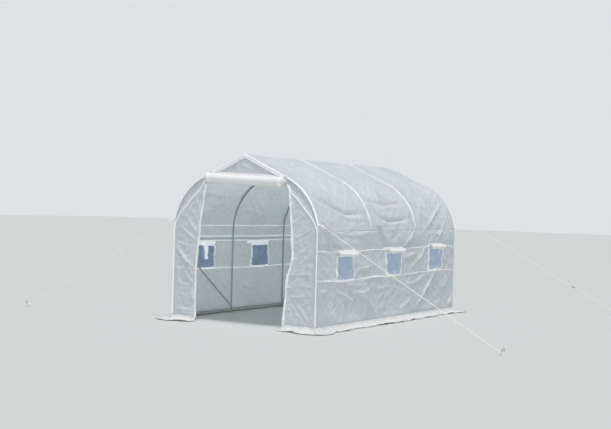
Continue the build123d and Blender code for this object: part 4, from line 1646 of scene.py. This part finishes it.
@dataclass(frozen=True)
class Roll:
    """A sheet rolled up on itself: a spiral carried along a line, pinched at its ties and sagging between them.

    The radius at an angle of winding is the inner radius plus the turns so far times the gap between layers. The
    outer end is at the back, and goes straight up from there to the line that the sheet is sewn to.
    """

    name: str
    start: Place3
    end: Place3
    radius: float
    core: float
    layer: float
    ties: tuple[float, ...]
    hang: Place
    sag: float
    pinch: float
    seed: int
    taper: float = 0.0
    dome: float = 0.45
    per_turn: int = 24
    stations: int = 70
    tail_points: int = 8
    flatness: float = 0.97
    pinch_width: float = 0.035
    dents: float = 0.022
    twists: float = 0.014
    uneven_ends: float = 0.003
    strap_proud: float = 0.0016

    @property
    def length(self) -> float:
        """The roll's length."""
        return math.dist(self.start, self.end)

    @property
    def way(self) -> Array:
        """The direction of its axis."""
        return (np.array(self.end) - np.array(self.start)) / self.length

    @property
    def last(self) -> float:
        """The angle of winding at the outer end."""
        return TURN * (self.radius - self.core) / self.layer

    def droop(self, part: Array) -> Array:
        """How far the axis hangs down at parts of its length: a parabola."""
        return self.sag * 4.0 * part * (1.0 - part)

    def frame(self, part: Array) -> tuple[Array, Array]:
        """The axis's places, and the direction square to it that points outwards."""
        line = np.array(self.start) + self.way * self.length * part[:, None] - UP * self.droop(part)[:, None]
        return line, np.cross(self.way, UP)

    def reach(self, part: Array, winding: Array) -> Array:
        """The distance from the axis, with the dents and the pinches.

        Args:
            part: how far along the roll, from 0 to 1.
            winding: the angle of winding.

        Returns:
            The radius at each place.
        """
        plain = self.core + self.layer * winding / TURN
        keep = 1.0 + self.taper * (part - 0.5)
        for tie in self.ties:
            keep = keep - self.pinch * bell(part, tie, self.pinch_width)
        dent = gradient_noise(part * 9.0, np.cos(winding) * 1.3 + winding * 0.05, self.seed)
        twist = gradient_noise(part * 4.0 + winding * 0.3, winding * 0.3, self.seed + 1)
        return plain * (keep + self.dents * dent + self.twists * twist)

    def build(self, node: str) -> None:
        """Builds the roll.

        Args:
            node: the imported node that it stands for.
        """
        winding = np.linspace(0.0, self.last, round(self.last / TURN * self.per_turn))
        part = np.linspace(0.0, 1.0, self.stations)[:, None]
        reach = self.reach(part, winding)
        turned = np.pi + (self.last - winding)
        tail = np.linspace(0.0, 1.0, self.tail_points + 1)[1:]
        skin = [reach * np.cos(turned), reach * np.sin(turned) * self.flatness]
        goals = [self.hang[0], self.hang[1] + self.droop(part)]
        outward, upward = (
            np.concatenate([way, way[:, -1:] + (goal - way[:, -1:]) * tail], axis=1) for way, goal in zip(skin, goals)
        )
        winding = np.concatenate([winding, self.last + 0.1 * tail])
        dome = self.dome * self.radius * (1.0 - np.minimum(winding / self.last, 1.0) ** 1.5)
        uneven = self.uneven_ends * gradient_noise(winding * 0.35, self.seed, self.seed + 2)
        slide = (dome + uneven) * (2.0 * part - 1.0)
        line, out = self.frame(part[:, 0])
        points = line[:, None] + out * outward[..., None] + UP * upward[..., None] + self.way * slide[..., None]
        arc = self.core * winding + self.layer * winding**2 / (2.0 * TURN)
        add_sheet(self.name, points, together(part * self.length, arc), "folded", [], Finish.ROLL, node)

    def tie(self, at: float, width: float, tail: float = 0.0, tail_width: float = 0.0) -> list[Grid]:
        """A strap round the roll, and a tail that hangs from it.

        Args:
            at: where along the roll, from 0 to 1.
            width: the strap's width.
            tail: how long the hanging end is.
            tail_width: how wide it is, if not as wide as the strap.

        Returns:
            The strap's bars.
        """
        line, out = self.frame(np.array([at]))
        angle = np.linspace(0.0, TURN, 41)
        skin = self.reach(np.array(at), self.last - (angle - np.pi) % TURN) + self.strap_proud
        look = circle(out, UP, angle)
        ties = [tape_along(line[0] + look * skin[:, None], look, self.way, width)]
        if tail > 0:
            drop = np.linspace(0.0, tail, 16)[:, None]
            swing = 0.10 * tail * np.sin(drop / tail * 2.6) + 0.12 * drop
            path = line[0] + out * (skin[0] * 0.99 - 0.10 * drop) - UP * drop + self.way * swing
            ties.append(tape_along(path, np.broadcast_to(out, path.shape), self.way, tail_width or width * 0.8))
        return ties


@dataclass(frozen=True)
class DoorRoll:
    """The door sheet rolled up over the doorway, with its straps: where along the roll, and their loose ends."""

    strap_width: float = 0.022
    straps: tuple[Place, ...] = ((0.045, 0.0), (0.955, 0.06))
    looseness: float = 0.009
    tilt: float = 0.024
    shorter: float = 0.034
    above: float = 0.012

    def build(self) -> None:
        """Builds the roll and the straps."""
        low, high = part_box("door_roll")
        middle_y, middle_z = (low.y + high.y) / 2 - self.looseness, (low.z + high.z) / 2
        radius = (high.z - low.z) / 2 + self.looseness
        roll = Roll(
            name="rolled_door",
            start=(low.x + self.shorter, middle_y, middle_z + self.tilt),
            end=(high.x - self.shorter, middle_y, middle_z - self.tilt * 0.75),
            radius=radius,
            core=0.005,
            layer=0.0024,
            ties=tuple(at for at, _ in self.straps),
            hang=(middle_y - FORM.face(End.FRONT) + 0.0012, radius + self.above),
            sag=0.007,
            pinch=0.050,
            seed=401,
            per_turn=13,
            stations=52,
        )
        roll.build("door_roll")
        parts = [part for at, tail in self.straps for part in roll.tie(at, self.strap_width, tail)]
        add_strip("door_straps", parts, Finish.BINDING, "door_ties")


@dataclass(frozen=True)
class DoorZips:
    """The zips down both sides of the doorway: a tape with a coil along its edge."""

    tape: float = 0.024
    rise: float = 0.0012
    coil: float = 0.0050
    pitch: float = 0.014
    points: int = 220

    def build(self, walls: EndWalls) -> None:
        """Builds a tape and a coil on each side, along the panel's own edge.

        Args:
            walls: the panels beside the doorway.
        """
        z = np.linspace(FORM.foot_z - 0.01, walls.door_top - 0.01, self.points)
        across, rise = tape_section(self.tape, self.rise)
        teeth = self.coil * (1.0 + 0.10 * np.cos(z * TURN / self.pitch))
        parts = []
        for side in Side:
            edge = walls.door_edge(z, side)
            x = edge[:, None] + across + self.tape / 2 - 0.001
            height = np.broadcast_to(z[:, None], x.shape)
            parts.append((walls.panel_place(x, height, side, proud=rise + self.rise), together(height, x)))
            parts.append(bar_along(walls.panel_place(edge, z, side, proud=self.rise / 2), teeth, sides=8))
        add_strip("zip_tapes", parts, Finish.ZIP, "door_zips")


# Windows


@dataclass(frozen=True)
class FlapStrap:
    """A strap of a rolled flap: where along the roll, and its hanging end's length and width."""

    at: float
    tail: float = 0.0
    tail_width: float = 0.0


FLAP_STRAPS: dict[Side, tuple[tuple[FlapStrap, ...], ...]] = {
    Side.RIGHT: (
        (FlapStrap(0.18), FlapStrap(0.65, 0.105)),
        (FlapStrap(0.22, 0.045), FlapStrap(0.80)),
        (FlapStrap(0.15), FlapStrap(0.50, 0.10), FlapStrap(0.88, 0.03)),
    ),
    Side.LEFT: (
        (FlapStrap(0.20), FlapStrap(0.85)),
        (FlapStrap(0.25), FlapStrap(0.72, 0.07)),
        (FlapStrap(0.20, 0.05), FlapStrap(0.80)),
    ),
}


def rounded_square(count: int, smoothing: int) -> Array:
    """A closed path round the square from -1 to 1 at an even speed, with its corners rounded.

    Each coordinate is a triangle wave of twice the height, cut off at -1 and 1, and the second lags the first by a
    quarter. The corners are rounded by taking the mean of each place and its two neighbours, several times over.

    Args:
        count: places on the path.
        smoothing: how many times the means are taken.

    Returns:
        Two rows: the first and the second coordinate.
    """
    t = np.arange(count) * 4.0 / count
    path = np.clip(2.0 * (np.abs((np.stack([t, t - 1.0]) % 4.0) - 2.0) - 1.0), -1.0, 1.0)
    for _ in range(smoothing):
        path = (np.roll(path, 1, axis=1) + path + np.roll(path, -1, axis=1)) / 3.0
    return path


@dataclass(frozen=True)
class Windows:
    """The windows of one side: screens, sewn borders, rolled flaps and their straps."""

    side: Side
    border: float = 0.026
    border_rise: float = 0.0044
    border_points: int = 144
    band: float = 0.040
    band_rise: float = 0.0032
    band_starts: tuple[float, ...] = (0.025, 0.075, 0.045)
    # A loose flap strap hangs inside one window: its side, window number, width and length.
    loose: tuple[Side, int, float, float] = (Side.LEFT, 0, 0.085, 0.20)
    lap: float = 0.006
    hollow: float = 0.0060
    ripple: float = 0.0035
    behind: float = 0.0009
    border_proud: float = 0.0004
    band_behind: float = 0.0006
    strap_width: float = 0.013
    tilts: tuple[float, ...] = (0.007, 0.005, 0.003)
    shorter: float = 0.026
    back: float = 0.014
    tapers: tuple[float, ...] = (-0.10, 0.06, -0.05)

    @property
    def tape(self) -> Finish:
        """The tapes' finish: on the left their inner face shows, and there they glow more, as painted light."""
        return Finish.INNER_TAPE if self.side is Side.LEFT else Finish.BINDING

    def place(self, run: Array, y: Array, proud: Array) -> Array:
        """Places on this side's sheet, or a little proud of it."""
        return RELIEF.place(run, y, self.side.value, proud=proud)

    def build(self) -> None:
        """Builds three screens, their borders as one piece, three rolls, and their straps as one piece."""
        for number in range(WINDOW_COUNT):
            self.screen(number)
        self.borders()
        self.bands()
        self.flaps()

    def screen(self, number: int) -> None:
        """Builds a screen as a patch that hollows inwards: a product of two arcs.

        Args:
            number: the window, counted from the front.
        """
        a, b = np.linspace(0.0, 1.0, 30)[:, None], np.linspace(0.0, 1.0, 44)[None, :]
        run = WINDOW.sill - self.lap + (WINDOW.height + 2 * self.lap) * a
        y = FORM.window_y(number) + (WINDOW.width + 2 * self.lap) * (b - 0.5)
        arc = 4 * a * (1 - a) * 4 * b * (1 - b)
        hollow = -self.hollow * arc**0.6 + self.ripple * arc * crumple(run, y, 0.16, 501 + 10 * number)
        piece = add_sheet(
            f"screen_{self.side.word}_{number + 1}", self.place(run, y, hollow - self.behind), together(y, run),
            "stretched", [f"wall_sheet_{self.side.word}"], Finish.SCREEN_OUT, f"window_screens_{self.side.word}",
            flip=self.side is Side.LEFT,
        )
        # The inner face takes the screen's darker copy: painted shade.
        piece.data.materials.append(Finish.SCREEN_IN.material)
        piece.modifiers["thickness"].material_offset = 1

    def borders(self) -> None:
        """Builds a flat rounded tape round each hole, half on the wall sheet and half on the screen."""
        across, rise = tape_section(self.border, self.border_rise)
        half = np.array([[WINDOW.width / 2], [WINDOW.height / 2]])
        length = np.linspace(0.0, 4 * half.sum(), self.border_points)[:, None]
        parts = []
        for number in range(WINDOW_COUNT):
            path = np.array([[FORM.window_y(number)], [WINDOW.middle]]) + rounded_square(self.border_points, 5) * half
            way = unit((np.roll(path, -1, axis=1) - np.roll(path, 1, axis=1)).T)
            y, run = path[:, :, None] + np.stack([way[:, 1:] * across, -way[:, :1] * across])
            parts.append((self.place(run, y, rise + self.border_proud), together(length, across)))
        name, node = f"window_borders_{self.side.word}", f"window_frames_{self.side.word}"
        add_strip(name, parts, self.tape, node, ring=True)

    def bands(self) -> None:
        """Builds the sewn band over each hole, through the wall sheet, that the flap hangs from."""
        across, rise = tape_section(self.band, self.band_rise)
        parts = []
        for number, start in enumerate(self.band_starts):
            along = np.linspace(-0.5 * WINDOW.width - start, 0.5 * WINDOW.width + 0.020, 60)[:, None]
            run = WINDOW.head + self.border / 2 + self.band / 2 + across
            places = self.place(run, FORM.window_y(number) + along, rise - self.band_behind)
            parts.append((places, together(along, across)))
        where, number, width, length = self.loose
        if self.side is where:
            across, rise = tape_section(width, 0.0016)
            run = WINDOW.head + self.border - np.linspace(0.0, length, 24)[:, None]
            sway = 0.005 * np.sin((run - WINDOW.sill) * 23.0) - 0.019
            along = FORM.window_y(number) - 0.01 + across * (1.0 - 0.5 * (WINDOW.head - run))
            parts.append((self.place(run, along, rise + sway), together(run, across)))
        add_strip(f"window_bands_{self.side.word}", parts, self.tape)

    def flaps(self) -> None:
        """Builds a rolled flap over each window, and the straps that hold it."""
        node = f"window_flaps_{self.side.word}"
        low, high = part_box(node)
        middle_x, middle_z = (low.x + high.x) / 2, (low.z + high.z) / 2
        half = (high.y - low.y - 2 * FORM.bay) / 2 - self.shorter
        parts = []
        for number, (tilt, taper) in enumerate(zip(self.tilts, self.tapers)):
            forwards, upwards = MOVES[self.side][number]
            middle, height = FORM.window_y(number) + forwards - self.back, middle_z + upwards
            ends = [(middle_x, middle - half, height + tilt), (middle_x, middle + half, height - tilt)]
            straps = FLAP_STRAPS[self.side][number]
            places = [strap.at for strap in straps]
            if self.side is Side.LEFT:
                ends.reverse()
                places = [1.0 - at for at in places]
            roll = Roll(
                name=f"rolled_flap_{self.side.word}_{number + 1}",
                start=ends[0],
                end=ends[1],
                radius=(high.z - low.z) / 2,
                core=0.003,
                layer=0.0020,
                ties=tuple(places),
                hang=(-(abs(middle_x) - FORM.wall_x + FORM.cad_sheet / 2 - 0.0012), 0.040),
                sag=0.004,
                pinch=0.09,
                seed=601 + 20 * number + self.side.value,
                taper=taper * self.side.value,
                per_turn=12,
                stations=28,
            )
            roll.build(node)
            for strap, at in zip(straps, places):
                parts += roll.tie(at, self.strap_width, strap.tail, strap.tail_width)
        add_strip(f"flap_straps_{self.side.word}", parts, Finish.BINDING, "flap_ties")


# The skirt


@dataclass(frozen=True)
class Skirt:
    """The ragged strip of sheet that leaves the walls and lies on the ground, from door edge to door edge.

    Its section, from the wall's foot, is a quarter circle and then a line along the ground. The quarter circle is
    pleated, and the edge wanders. Round a corner the strip fans out. It is built as one grid and cut at the corners.
    """

    reach: float = 0.125
    wander: float = 0.030
    ragged: float = 0.012
    sway: float = 0.025
    corner_reach: float = 0.075
    bend: float = 0.060
    corner_length: float = 0.16
    pleat: float = 0.011
    lift: float = 0.011
    curl: float = 0.022
    off_ground: float = 0.0014
    rows: int = 24
    step: float = 0.0135
    turn_length: float = 0.075
    turn_places: int = 26

    def foot(self, walls: EndWalls) -> tuple[Array, list[float]]:
        """The line of the wall's foot, clockwise from the doorway's left edge.

        Args:
            walls: the sheets of both ends.

        Returns:
            Places along the line, and the lengths of its five parts.
        """
        lines = []
        for side in (Side.LEFT, Side.RIGHT):
            edge, seam = walls.door_edge(np.array(FORM.foot_z), side), FORM.seam_width(np.array(FORM.foot_z), End.FRONT)
            x = np.linspace(float(edge), float(seam), 30)
            along = RELIEF.lengthwise(np.array([FORM.foot_z]), np.linspace(*FORM.arches[::3], 300))[0]
            lines.append(walls.panel_place(x, np.full_like(x, FORM.foot_z), side))
            lines.append(RELIEF.place(FORM.foot_z, along, side.value))
        rear_x = np.linspace(lines[1][-1, 0], lines[3][-1, 0], 120)
        rear = REAR_PANEL.place(rear_x, np.full_like(rear_x, FORM.foot_z))
        parts = [lines[0], lines[1], rear, lines[3][::-1], lines[2][::-1]]
        return np.concatenate(parts), [float(distances(part)[-1]) for part in parts]

    def outward(self, foot: Array) -> Array:
        """The way out of the tunnel: square to the foot's path, smoothed by a bell so that corners fan.

        Args:
            foot: places along the foot, a step apart.

        Returns:
            X and Y of the direction at each place.
        """
        pad = self.turn_places
        way = unit(np.gradient(foot[:, :2], axis=0))
        weights = bell(np.arange(-pad, pad + 1) * self.step, 0.0, self.turn_length)
        padded = np.pad(np.stack([-way[:, 1], way[:, 0]]), ((0, 0), (pad, pad)), mode="edge")
        return unit(np.stack([np.convolve(line, weights / weights.sum(), mode="valid") for line in padded]).T)

    def surface(self, walls: EndWalls) -> tuple[Array, Array, list[int]]:
        """The whole strip as a grid: the place along the foot and the part of the way out are its two parameters.

        Args:
            walls: the sheets of both ends.

        Returns:
            Places, cut coordinates, and the rows at which it is cut into its five pieces.
        """
        path, lengths = self.foot(walls)
        run = distances(path)
        along = np.linspace(0.0, run[-1], round(run[-1] / self.step) + 1)
        foot = np.stack([np.interp(along, run, path[:, n]) for n in range(3)], axis=-1)
        ends = np.cumsum(lengths)
        corners = sum(bell(along, corner, self.corner_length) for corner in ends[:-1])
        out = self.outward(foot)
        a, part = along[:, None], np.linspace(0.0, 1.0, self.rows)[None, :]
        ragged = self.wander * gradient_noise(a / 0.21, 0.3, 701) + self.ragged * gradient_noise(a / 0.045, 0.7, 702)
        sway = self.sway * gradient_noise(a / 0.9, 0.2, 703)
        reach = self.reach + self.corner_reach * corners[:, None] + ragged + sway
        arc = self.bend * np.pi / 2
        distance = part**1.25 * (arc + np.maximum(reach - self.bend, 0.01))
        angle = np.clip(distance / self.bend, 0.0, np.pi / 2)
        pleats = crumple(a, part * 0.05, 0.085, 711, octaves=2) + 0.6 * gradient_noise(a / 0.05, part * 0.8, 713)
        in_bend = np.sin(np.clip(angle * 1.6, 0.0, np.pi))
        away = self.bend * (1.0 - np.cos(angle)) + np.maximum(distance - arc, 0.0) + self.pleat * pleats * in_bend
        flat = smoothstep(0.55, 1.0, angle / (np.pi / 2))
        ripple = 0.5 + 0.5 * crumple(a, distance * 1.3, 0.09, 721)
        curl = np.maximum(gradient_noise(a / 0.19, part * 0.7, 731), 0.0)
        height = (FORM.foot_z - self.off_ground) * (1.0 - np.sin(angle)) + self.off_ground
        height = height + flat * (self.lift * np.maximum(ripple, 0.0) + self.curl * curl * part**2)
        points = np.concatenate([foot[:, None, :2] + out[:, None] * away[..., None], height[..., None]], axis=-1)
        return points, together(a, distance), [0, *np.searchsorted(along, ends[:-1]).tolist(), len(along) - 1]

    def build(self, walls: EndWalls) -> None:
        """Builds the skirt's five pieces, which share their end rows.

        Args:
            walls: the sheets of both ends.
        """
        points, uv, rows = self.surface(walls)
        names = ("front_left", "left", "rear", "right", "front_right")
        for name, low, high in zip(names, rows[:-1], rows[1:]):
            places, cut = points[low : high + 1], uv[low : high + 1]
            node = f"skirt_{name.split('_')[0]}"
            white = np.zeros(places.shape[:2])
            add_sheet(f"ground_skirt_{name}", places, cut, "laid", [], Finish.SKIRT, node, flip=True, white=white)


# Guy ropes


@dataclass(frozen=True)
class GuyRope:
    """A taut three-strand rope from a webbing tab on the cover to a peg, tied at both ends.

    Each strand is a helix round the rope's line: the line's place plus a small circle that turns with the distance.
    A strand's and a whipping's two numbers are the reach of its helix and its own radius, and these and the loop's
    radius are shares of the rope's.
    """

    end: End
    side: Side
    lay: float = 0.021
    radius: float = 0.0040
    sag: float = 0.006
    eye: float = 0.012
    peg_loop: float = 0.0066
    knots: Place = (0.012, 0.985)
    strand: Place = (0.42, 0.66)
    whipping: Place = (1.75, 0.82)
    loop: float = 0.9
    end_reach: float = 0.012

    @property
    def node(self) -> str:
        """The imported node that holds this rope."""
        return f"guy_ropes_{self.end.word}"

    @cached_property
    def ends(self) -> Array:
        """The rope's two ends: the highest and the furthest places of the node's right half, on this side.

        Returns:
            Two rows, at the tab and at the peg.
        """
        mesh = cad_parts[self.node].data
        points = np.zeros(len(mesh.vertices) * 3, np.float32)
        mesh.vertices.foreach_get("co", points)
        points = points.reshape(-1, 3).astype(float)
        right = points[points[:, 0] > 0]
        found = [right[right[:, axis] > right[:, axis].max() - self.end_reach].mean(axis=0) for axis in (2, 0)]
        return np.array(found) * [self.side.value, 1.0, 1.0]

    @property
    def length(self) -> float:
        """The rope's length between its ends."""
        return math.dist(*self.ends)

    @property
    def axes(self) -> tuple[Array, Array, Array]:
        """The rope's direction, and the two directions square to it: level and upright."""
        way = unit(self.ends[1] - self.ends[0])
        return way, *square_to(way, UP)

    def line(self, part: Array) -> Array:
        """The rope's line: straight, with a very shallow sag."""
        part = part[:, None]
        return self.ends[0] + (self.ends[1] - self.ends[0]) * part - UP * (self.sag * 4.0 * part * (1.0 - part))

    def helix(self, span: Place, turns: float, reach: float, phase: float, points: int) -> Array:
        """Places on a helix round the line.

        Args:
            span: the two parts of the line between which it runs.
            turns: how many times it goes round.
            reach: its radius.
            phase: where it starts, in turns.
            points: how many places.

        Returns:
            The places, one row each.
        """
        _, level, upright = self.axes
        step = np.linspace(0.0, 1.0, points)
        around = circle(level, upright, TURN * (turns * step + phase))
        return self.line(span[0] + (span[1] - span[0]) * step) + around * reach

    def build(self) -> None:
        """Builds strands, two whipped knots, the loop through the tab and the loop round the peg."""
        way, level, upright = self.axes
        turns = self.length / self.lay
        parts = []
        for strand in range(3):
            path = self.helix((0.0, 1.0), turns, self.radius * self.strand[0], strand / 3.0, round(turns * 5))
            parts.append(bar_along(path, self.radius * self.strand[1], sides=4))
        for at in self.knots:
            path = self.helix((at - 0.005, at + 0.005), 4, self.radius * self.whipping[0], 0.0, 56)
            parts.append(bar_along(path, self.radius * self.whipping[1], sides=7))
        loops = ((self.ends[0] + way * 0.008, way, upright, self.eye), (self.ends[1], level, way, self.peg_loop))
        for middle, one, two, reach in loops:
            path = middle + circle(one, two, np.linspace(0.0, TURN, 33)) * reach
            parts.append(bar_along(path, self.radius * self.loop, sides=8))
        add_strip(f"guy_rope_{self.end.word}_{self.side.word}", parts, Finish.CORD, self.node)


@dataclass(frozen=True)
class GuySet:
    """All four ropes, the runners on the rear ones and the webbing tabs on the cover."""

    runner_at: float = 0.73
    runner_length: float = 0.055
    runner_width: float = 0.016
    runner_rise: float = 0.0042

    def build(self) -> None:
        """Builds ropes, runners and tabs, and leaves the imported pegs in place."""
        ropes = [GuyRope(end, side) for end in End for side in Side]
        for rope in ropes:
            rope.build()
        add_strip("rope_runners", [self.runner(rope) for rope in ropes if rope.end is End.REAR], Finish.CAP)
        self.tabs()

    def runner(self, rope: GuyRope) -> Grid:
        """A flat runner on a rope: a bar whose section swells at both ends, where the rope goes through it.

        Args:
            rope: the rope.

        Returns:
            The bar.
        """
        t = np.linspace(-0.5, 0.5, 15)
        path = rope.line(self.runner_at + t * self.runner_length / rope.length)
        _, across, upright = rope.axes
        flat, rise = tape_section(self.runner_width, self.runner_rise, 12)
        swell = (0.72 + 0.28 * np.cos(t * 2 * TURN)) * np.sqrt(np.maximum(1.0 - (2 * t) ** 8, 0.05))
        ring = across * flat[:, None] * swell[:, None, None] + upright * rise[:, None]
        return path[:, None] + ring, together(t[:, None] * self.runner_length, flat)

    def tabs(self) -> None:
        """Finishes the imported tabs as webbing: a merged copy with cut coordinates."""
        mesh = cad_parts["guy_tabs"].data.copy()
        mesh.materials.clear()
        clean_mesh(mesh, 1e-5)
        places, corners = np.zeros(len(mesh.vertices) * 3, np.float32), np.zeros(len(mesh.loops), np.int32)
        mesh.vertices.foreach_get("co", places)
        mesh.loops.foreach_get("vertex_index", corners)
        at = places.reshape(-1, 3)[corners]
        cut = mesh.uv_layers.get("cut") or mesh.uv_layers.new(name="cut")
        cut.data.foreach_set("uv", together(at[:, 0], at[:, 1] + at[:, 2]).ravel())
        add_piece("webbing_tabs", mesh, Finish.BINDING, "guy_tabs")


# The steel frame


@dataclass(frozen=True)
class SteelFrame:
    """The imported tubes, elbows, braces, screws, caps and pegs, which keep their shapes: finishes by first word."""

    finishes: tuple[tuple[str, Finish], ...] = (
        ("arch_legs", Finish.TUBE), ("front_arch", Finish.TUBE), ("second_arch", Finish.TUBE),
        ("third_arch", Finish.TUBE), ("rear_arch", Finish.TUBE), ("ridge", Finish.TUBE), ("base_rails", Finish.TUBE),
        ("braces", Finish.TUBE), ("side_rail", Finish.RAIL), ("brace_screws", Finish.SCREW),
        ("foot_caps", Finish.CAP), ("guy_pegs", Finish.PEG),
    )

    def build(self) -> None:
        """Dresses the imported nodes."""
        for start, finish in self.finishes:
            for name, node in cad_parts.items():
                if name.startswith(start):
                    node.data.materials.clear()
                    node.data.materials.append(finish.material)
        log.info("steel frame dressed")


# Floor, light and camera


def facing(way: Array, up: Sequence[float] = UP) -> Matrix:
    """The turn of a lamp or camera that looks one way, with an upward side: its axes are right, up and back."""
    right, down = square_to(unit(way), up)
    return Matrix(np.stack([right, -down, -unit(way)], axis=1).tolist()).to_4x4()


@dataclass(frozen=True)
class Lamp:
    """A wide far lamp: light from one way, soft because it comes from a broad disc.

    Its level is the share of full white that it gives a surface that faces it.
    """

    name: str
    way: Place3
    width: float
    level: float

    def build(self) -> None:
        """Adds the lamp."""
        lamp = bpy.data.lights.new(self.name, "SUN")
        lamp.angle = math.radians(self.width)
        lamp.energy = self.level * math.pi
        piece = bpy.data.objects.new(self.name, lamp)
        piece.matrix_world = facing(-np.array(self.way))
        bpy.context.scene.collection.objects.link(piece)


@dataclass(frozen=True)
class Studio:
    """A plain pale floor, soft light from above and a camera where the photograph was taken."""

    floor_paint: str = "#d3d7d4"
    floor_size: float = 60.0
    sky_light: str = "#ecf1f7"
    sky_strength: float = 0.42
    sky_shown: str = "#dde2e5"
    lamps: tuple[Lamp, ...] = (
        Lamp("key", (0.19, -0.20, 0.961), width=12.0, level=0.62),
        Lamp("fill", (0.50, -0.80, 0.33), width=40.0, level=0.07),
    )
    image_width: float = 611.0
    focal_pixels: float = 1065.8
    sensor: float = 36.0
    far_clip: float = 200.0
    camera_place: Place3 = (7.007, -9.763, 1.363)
    yaw: float = -0.5647
    pitch: float = -0.0074
    roll: float = 0.02743

    def build(self) -> None:
        """Sets up the view, the floor, the lights and the camera."""
        bpy.context.scene.view_settings.view_transform = "Standard"
        self.floor()
        self.sky()
        for lamp in self.lamps:
            lamp.build()
        self.camera()
        log.info("studio")

    def floor(self) -> None:
        """A wide square of matt pale floor."""
        size = self.floor_size
        mesh = bpy.data.meshes.new("studio_floor")
        corners = [(x * size, y * size, 0.0) for x, y in ((-1, -1), (1, -1), (1, 1), (-1, 1))]
        mesh.from_pydata(corners, [], [(0, 1, 2, 3)])
        mesh.materials.append(Surface("studio_floor_paint", self.floor_paint, self.floor_paint).build())
        piece = bpy.data.objects.new("studio_floor", mesh)
        bpy.context.scene.collection.objects.link(piece)

    def sky(self) -> None:
        """An even sky that lights the object, and the colour that the camera and reflections see in its place."""
        world = bpy.data.worlds.new("studio_sky")
        bpy.context.scene.world = world
        world.use_nodes = True
        tree = world.node_tree
        tree.nodes.clear()
        path = add_node(tree, "LightPath").outputs
        seen = path["Is Camera Ray"]
        for ray in ("Is Glossy Ray", "Is Transmission Ray"):
            seen = add_node(tree, "Math", {0: seen, 1: path[ray]}, operation="MAXIMUM")
        light = add_node(tree, "Background", {"Color": linear(self.sky_light), "Strength": self.sky_strength})
        shown = add_node(tree, "Background", {"Color": linear(self.sky_shown), "Strength": 1.0})
        add_node(tree, "OutputWorld", {"Surface": add_node(tree, "MixShader", {0: seen, 1: light, 2: shown})})

    def camera(self) -> None:
        """The camera: its lens from the photograph's width, its place measured from the front arch."""
        data = bpy.data.cameras.new("camera")
        data.sensor_width = self.sensor
        data.lens = self.focal_pixels * self.sensor / self.image_width
        data.clip_end = self.far_clip
        piece = bpy.data.objects.new("camera", data)
        bpy.context.scene.collection.objects.link(piece)
        flat = math.cos(self.pitch)
        ahead = np.array([math.sin(self.yaw) * flat, math.cos(self.yaw) * flat, math.sin(self.pitch)])
        place = np.array(self.camera_place) + np.array([0.0, FORM.arches[0], 0.0])
        piece.matrix_world = Matrix.Translation(place) @ facing(ahead) @ Matrix.Rotation(self.roll, 4, "Z")
        bpy.context.scene.camera = piece


def main() -> None:
    """Builds the tunnel's pieces in order."""
    logging.basicConfig(level=logging.INFO, format="%(name)s: %(message)s")
    walls = EndWalls()
    for part in (Studio(), SteelFrame(), CoverSheets(), SeamTapes(), walls, EndSeams(), DoorRoll()):
        part.build()
    DoorZips().build(walls)
    for side in Side:
        Windows(side).build()
    Skirt().build(walls)
    GuySet().build()


if __name__ == "__main__":
    main()
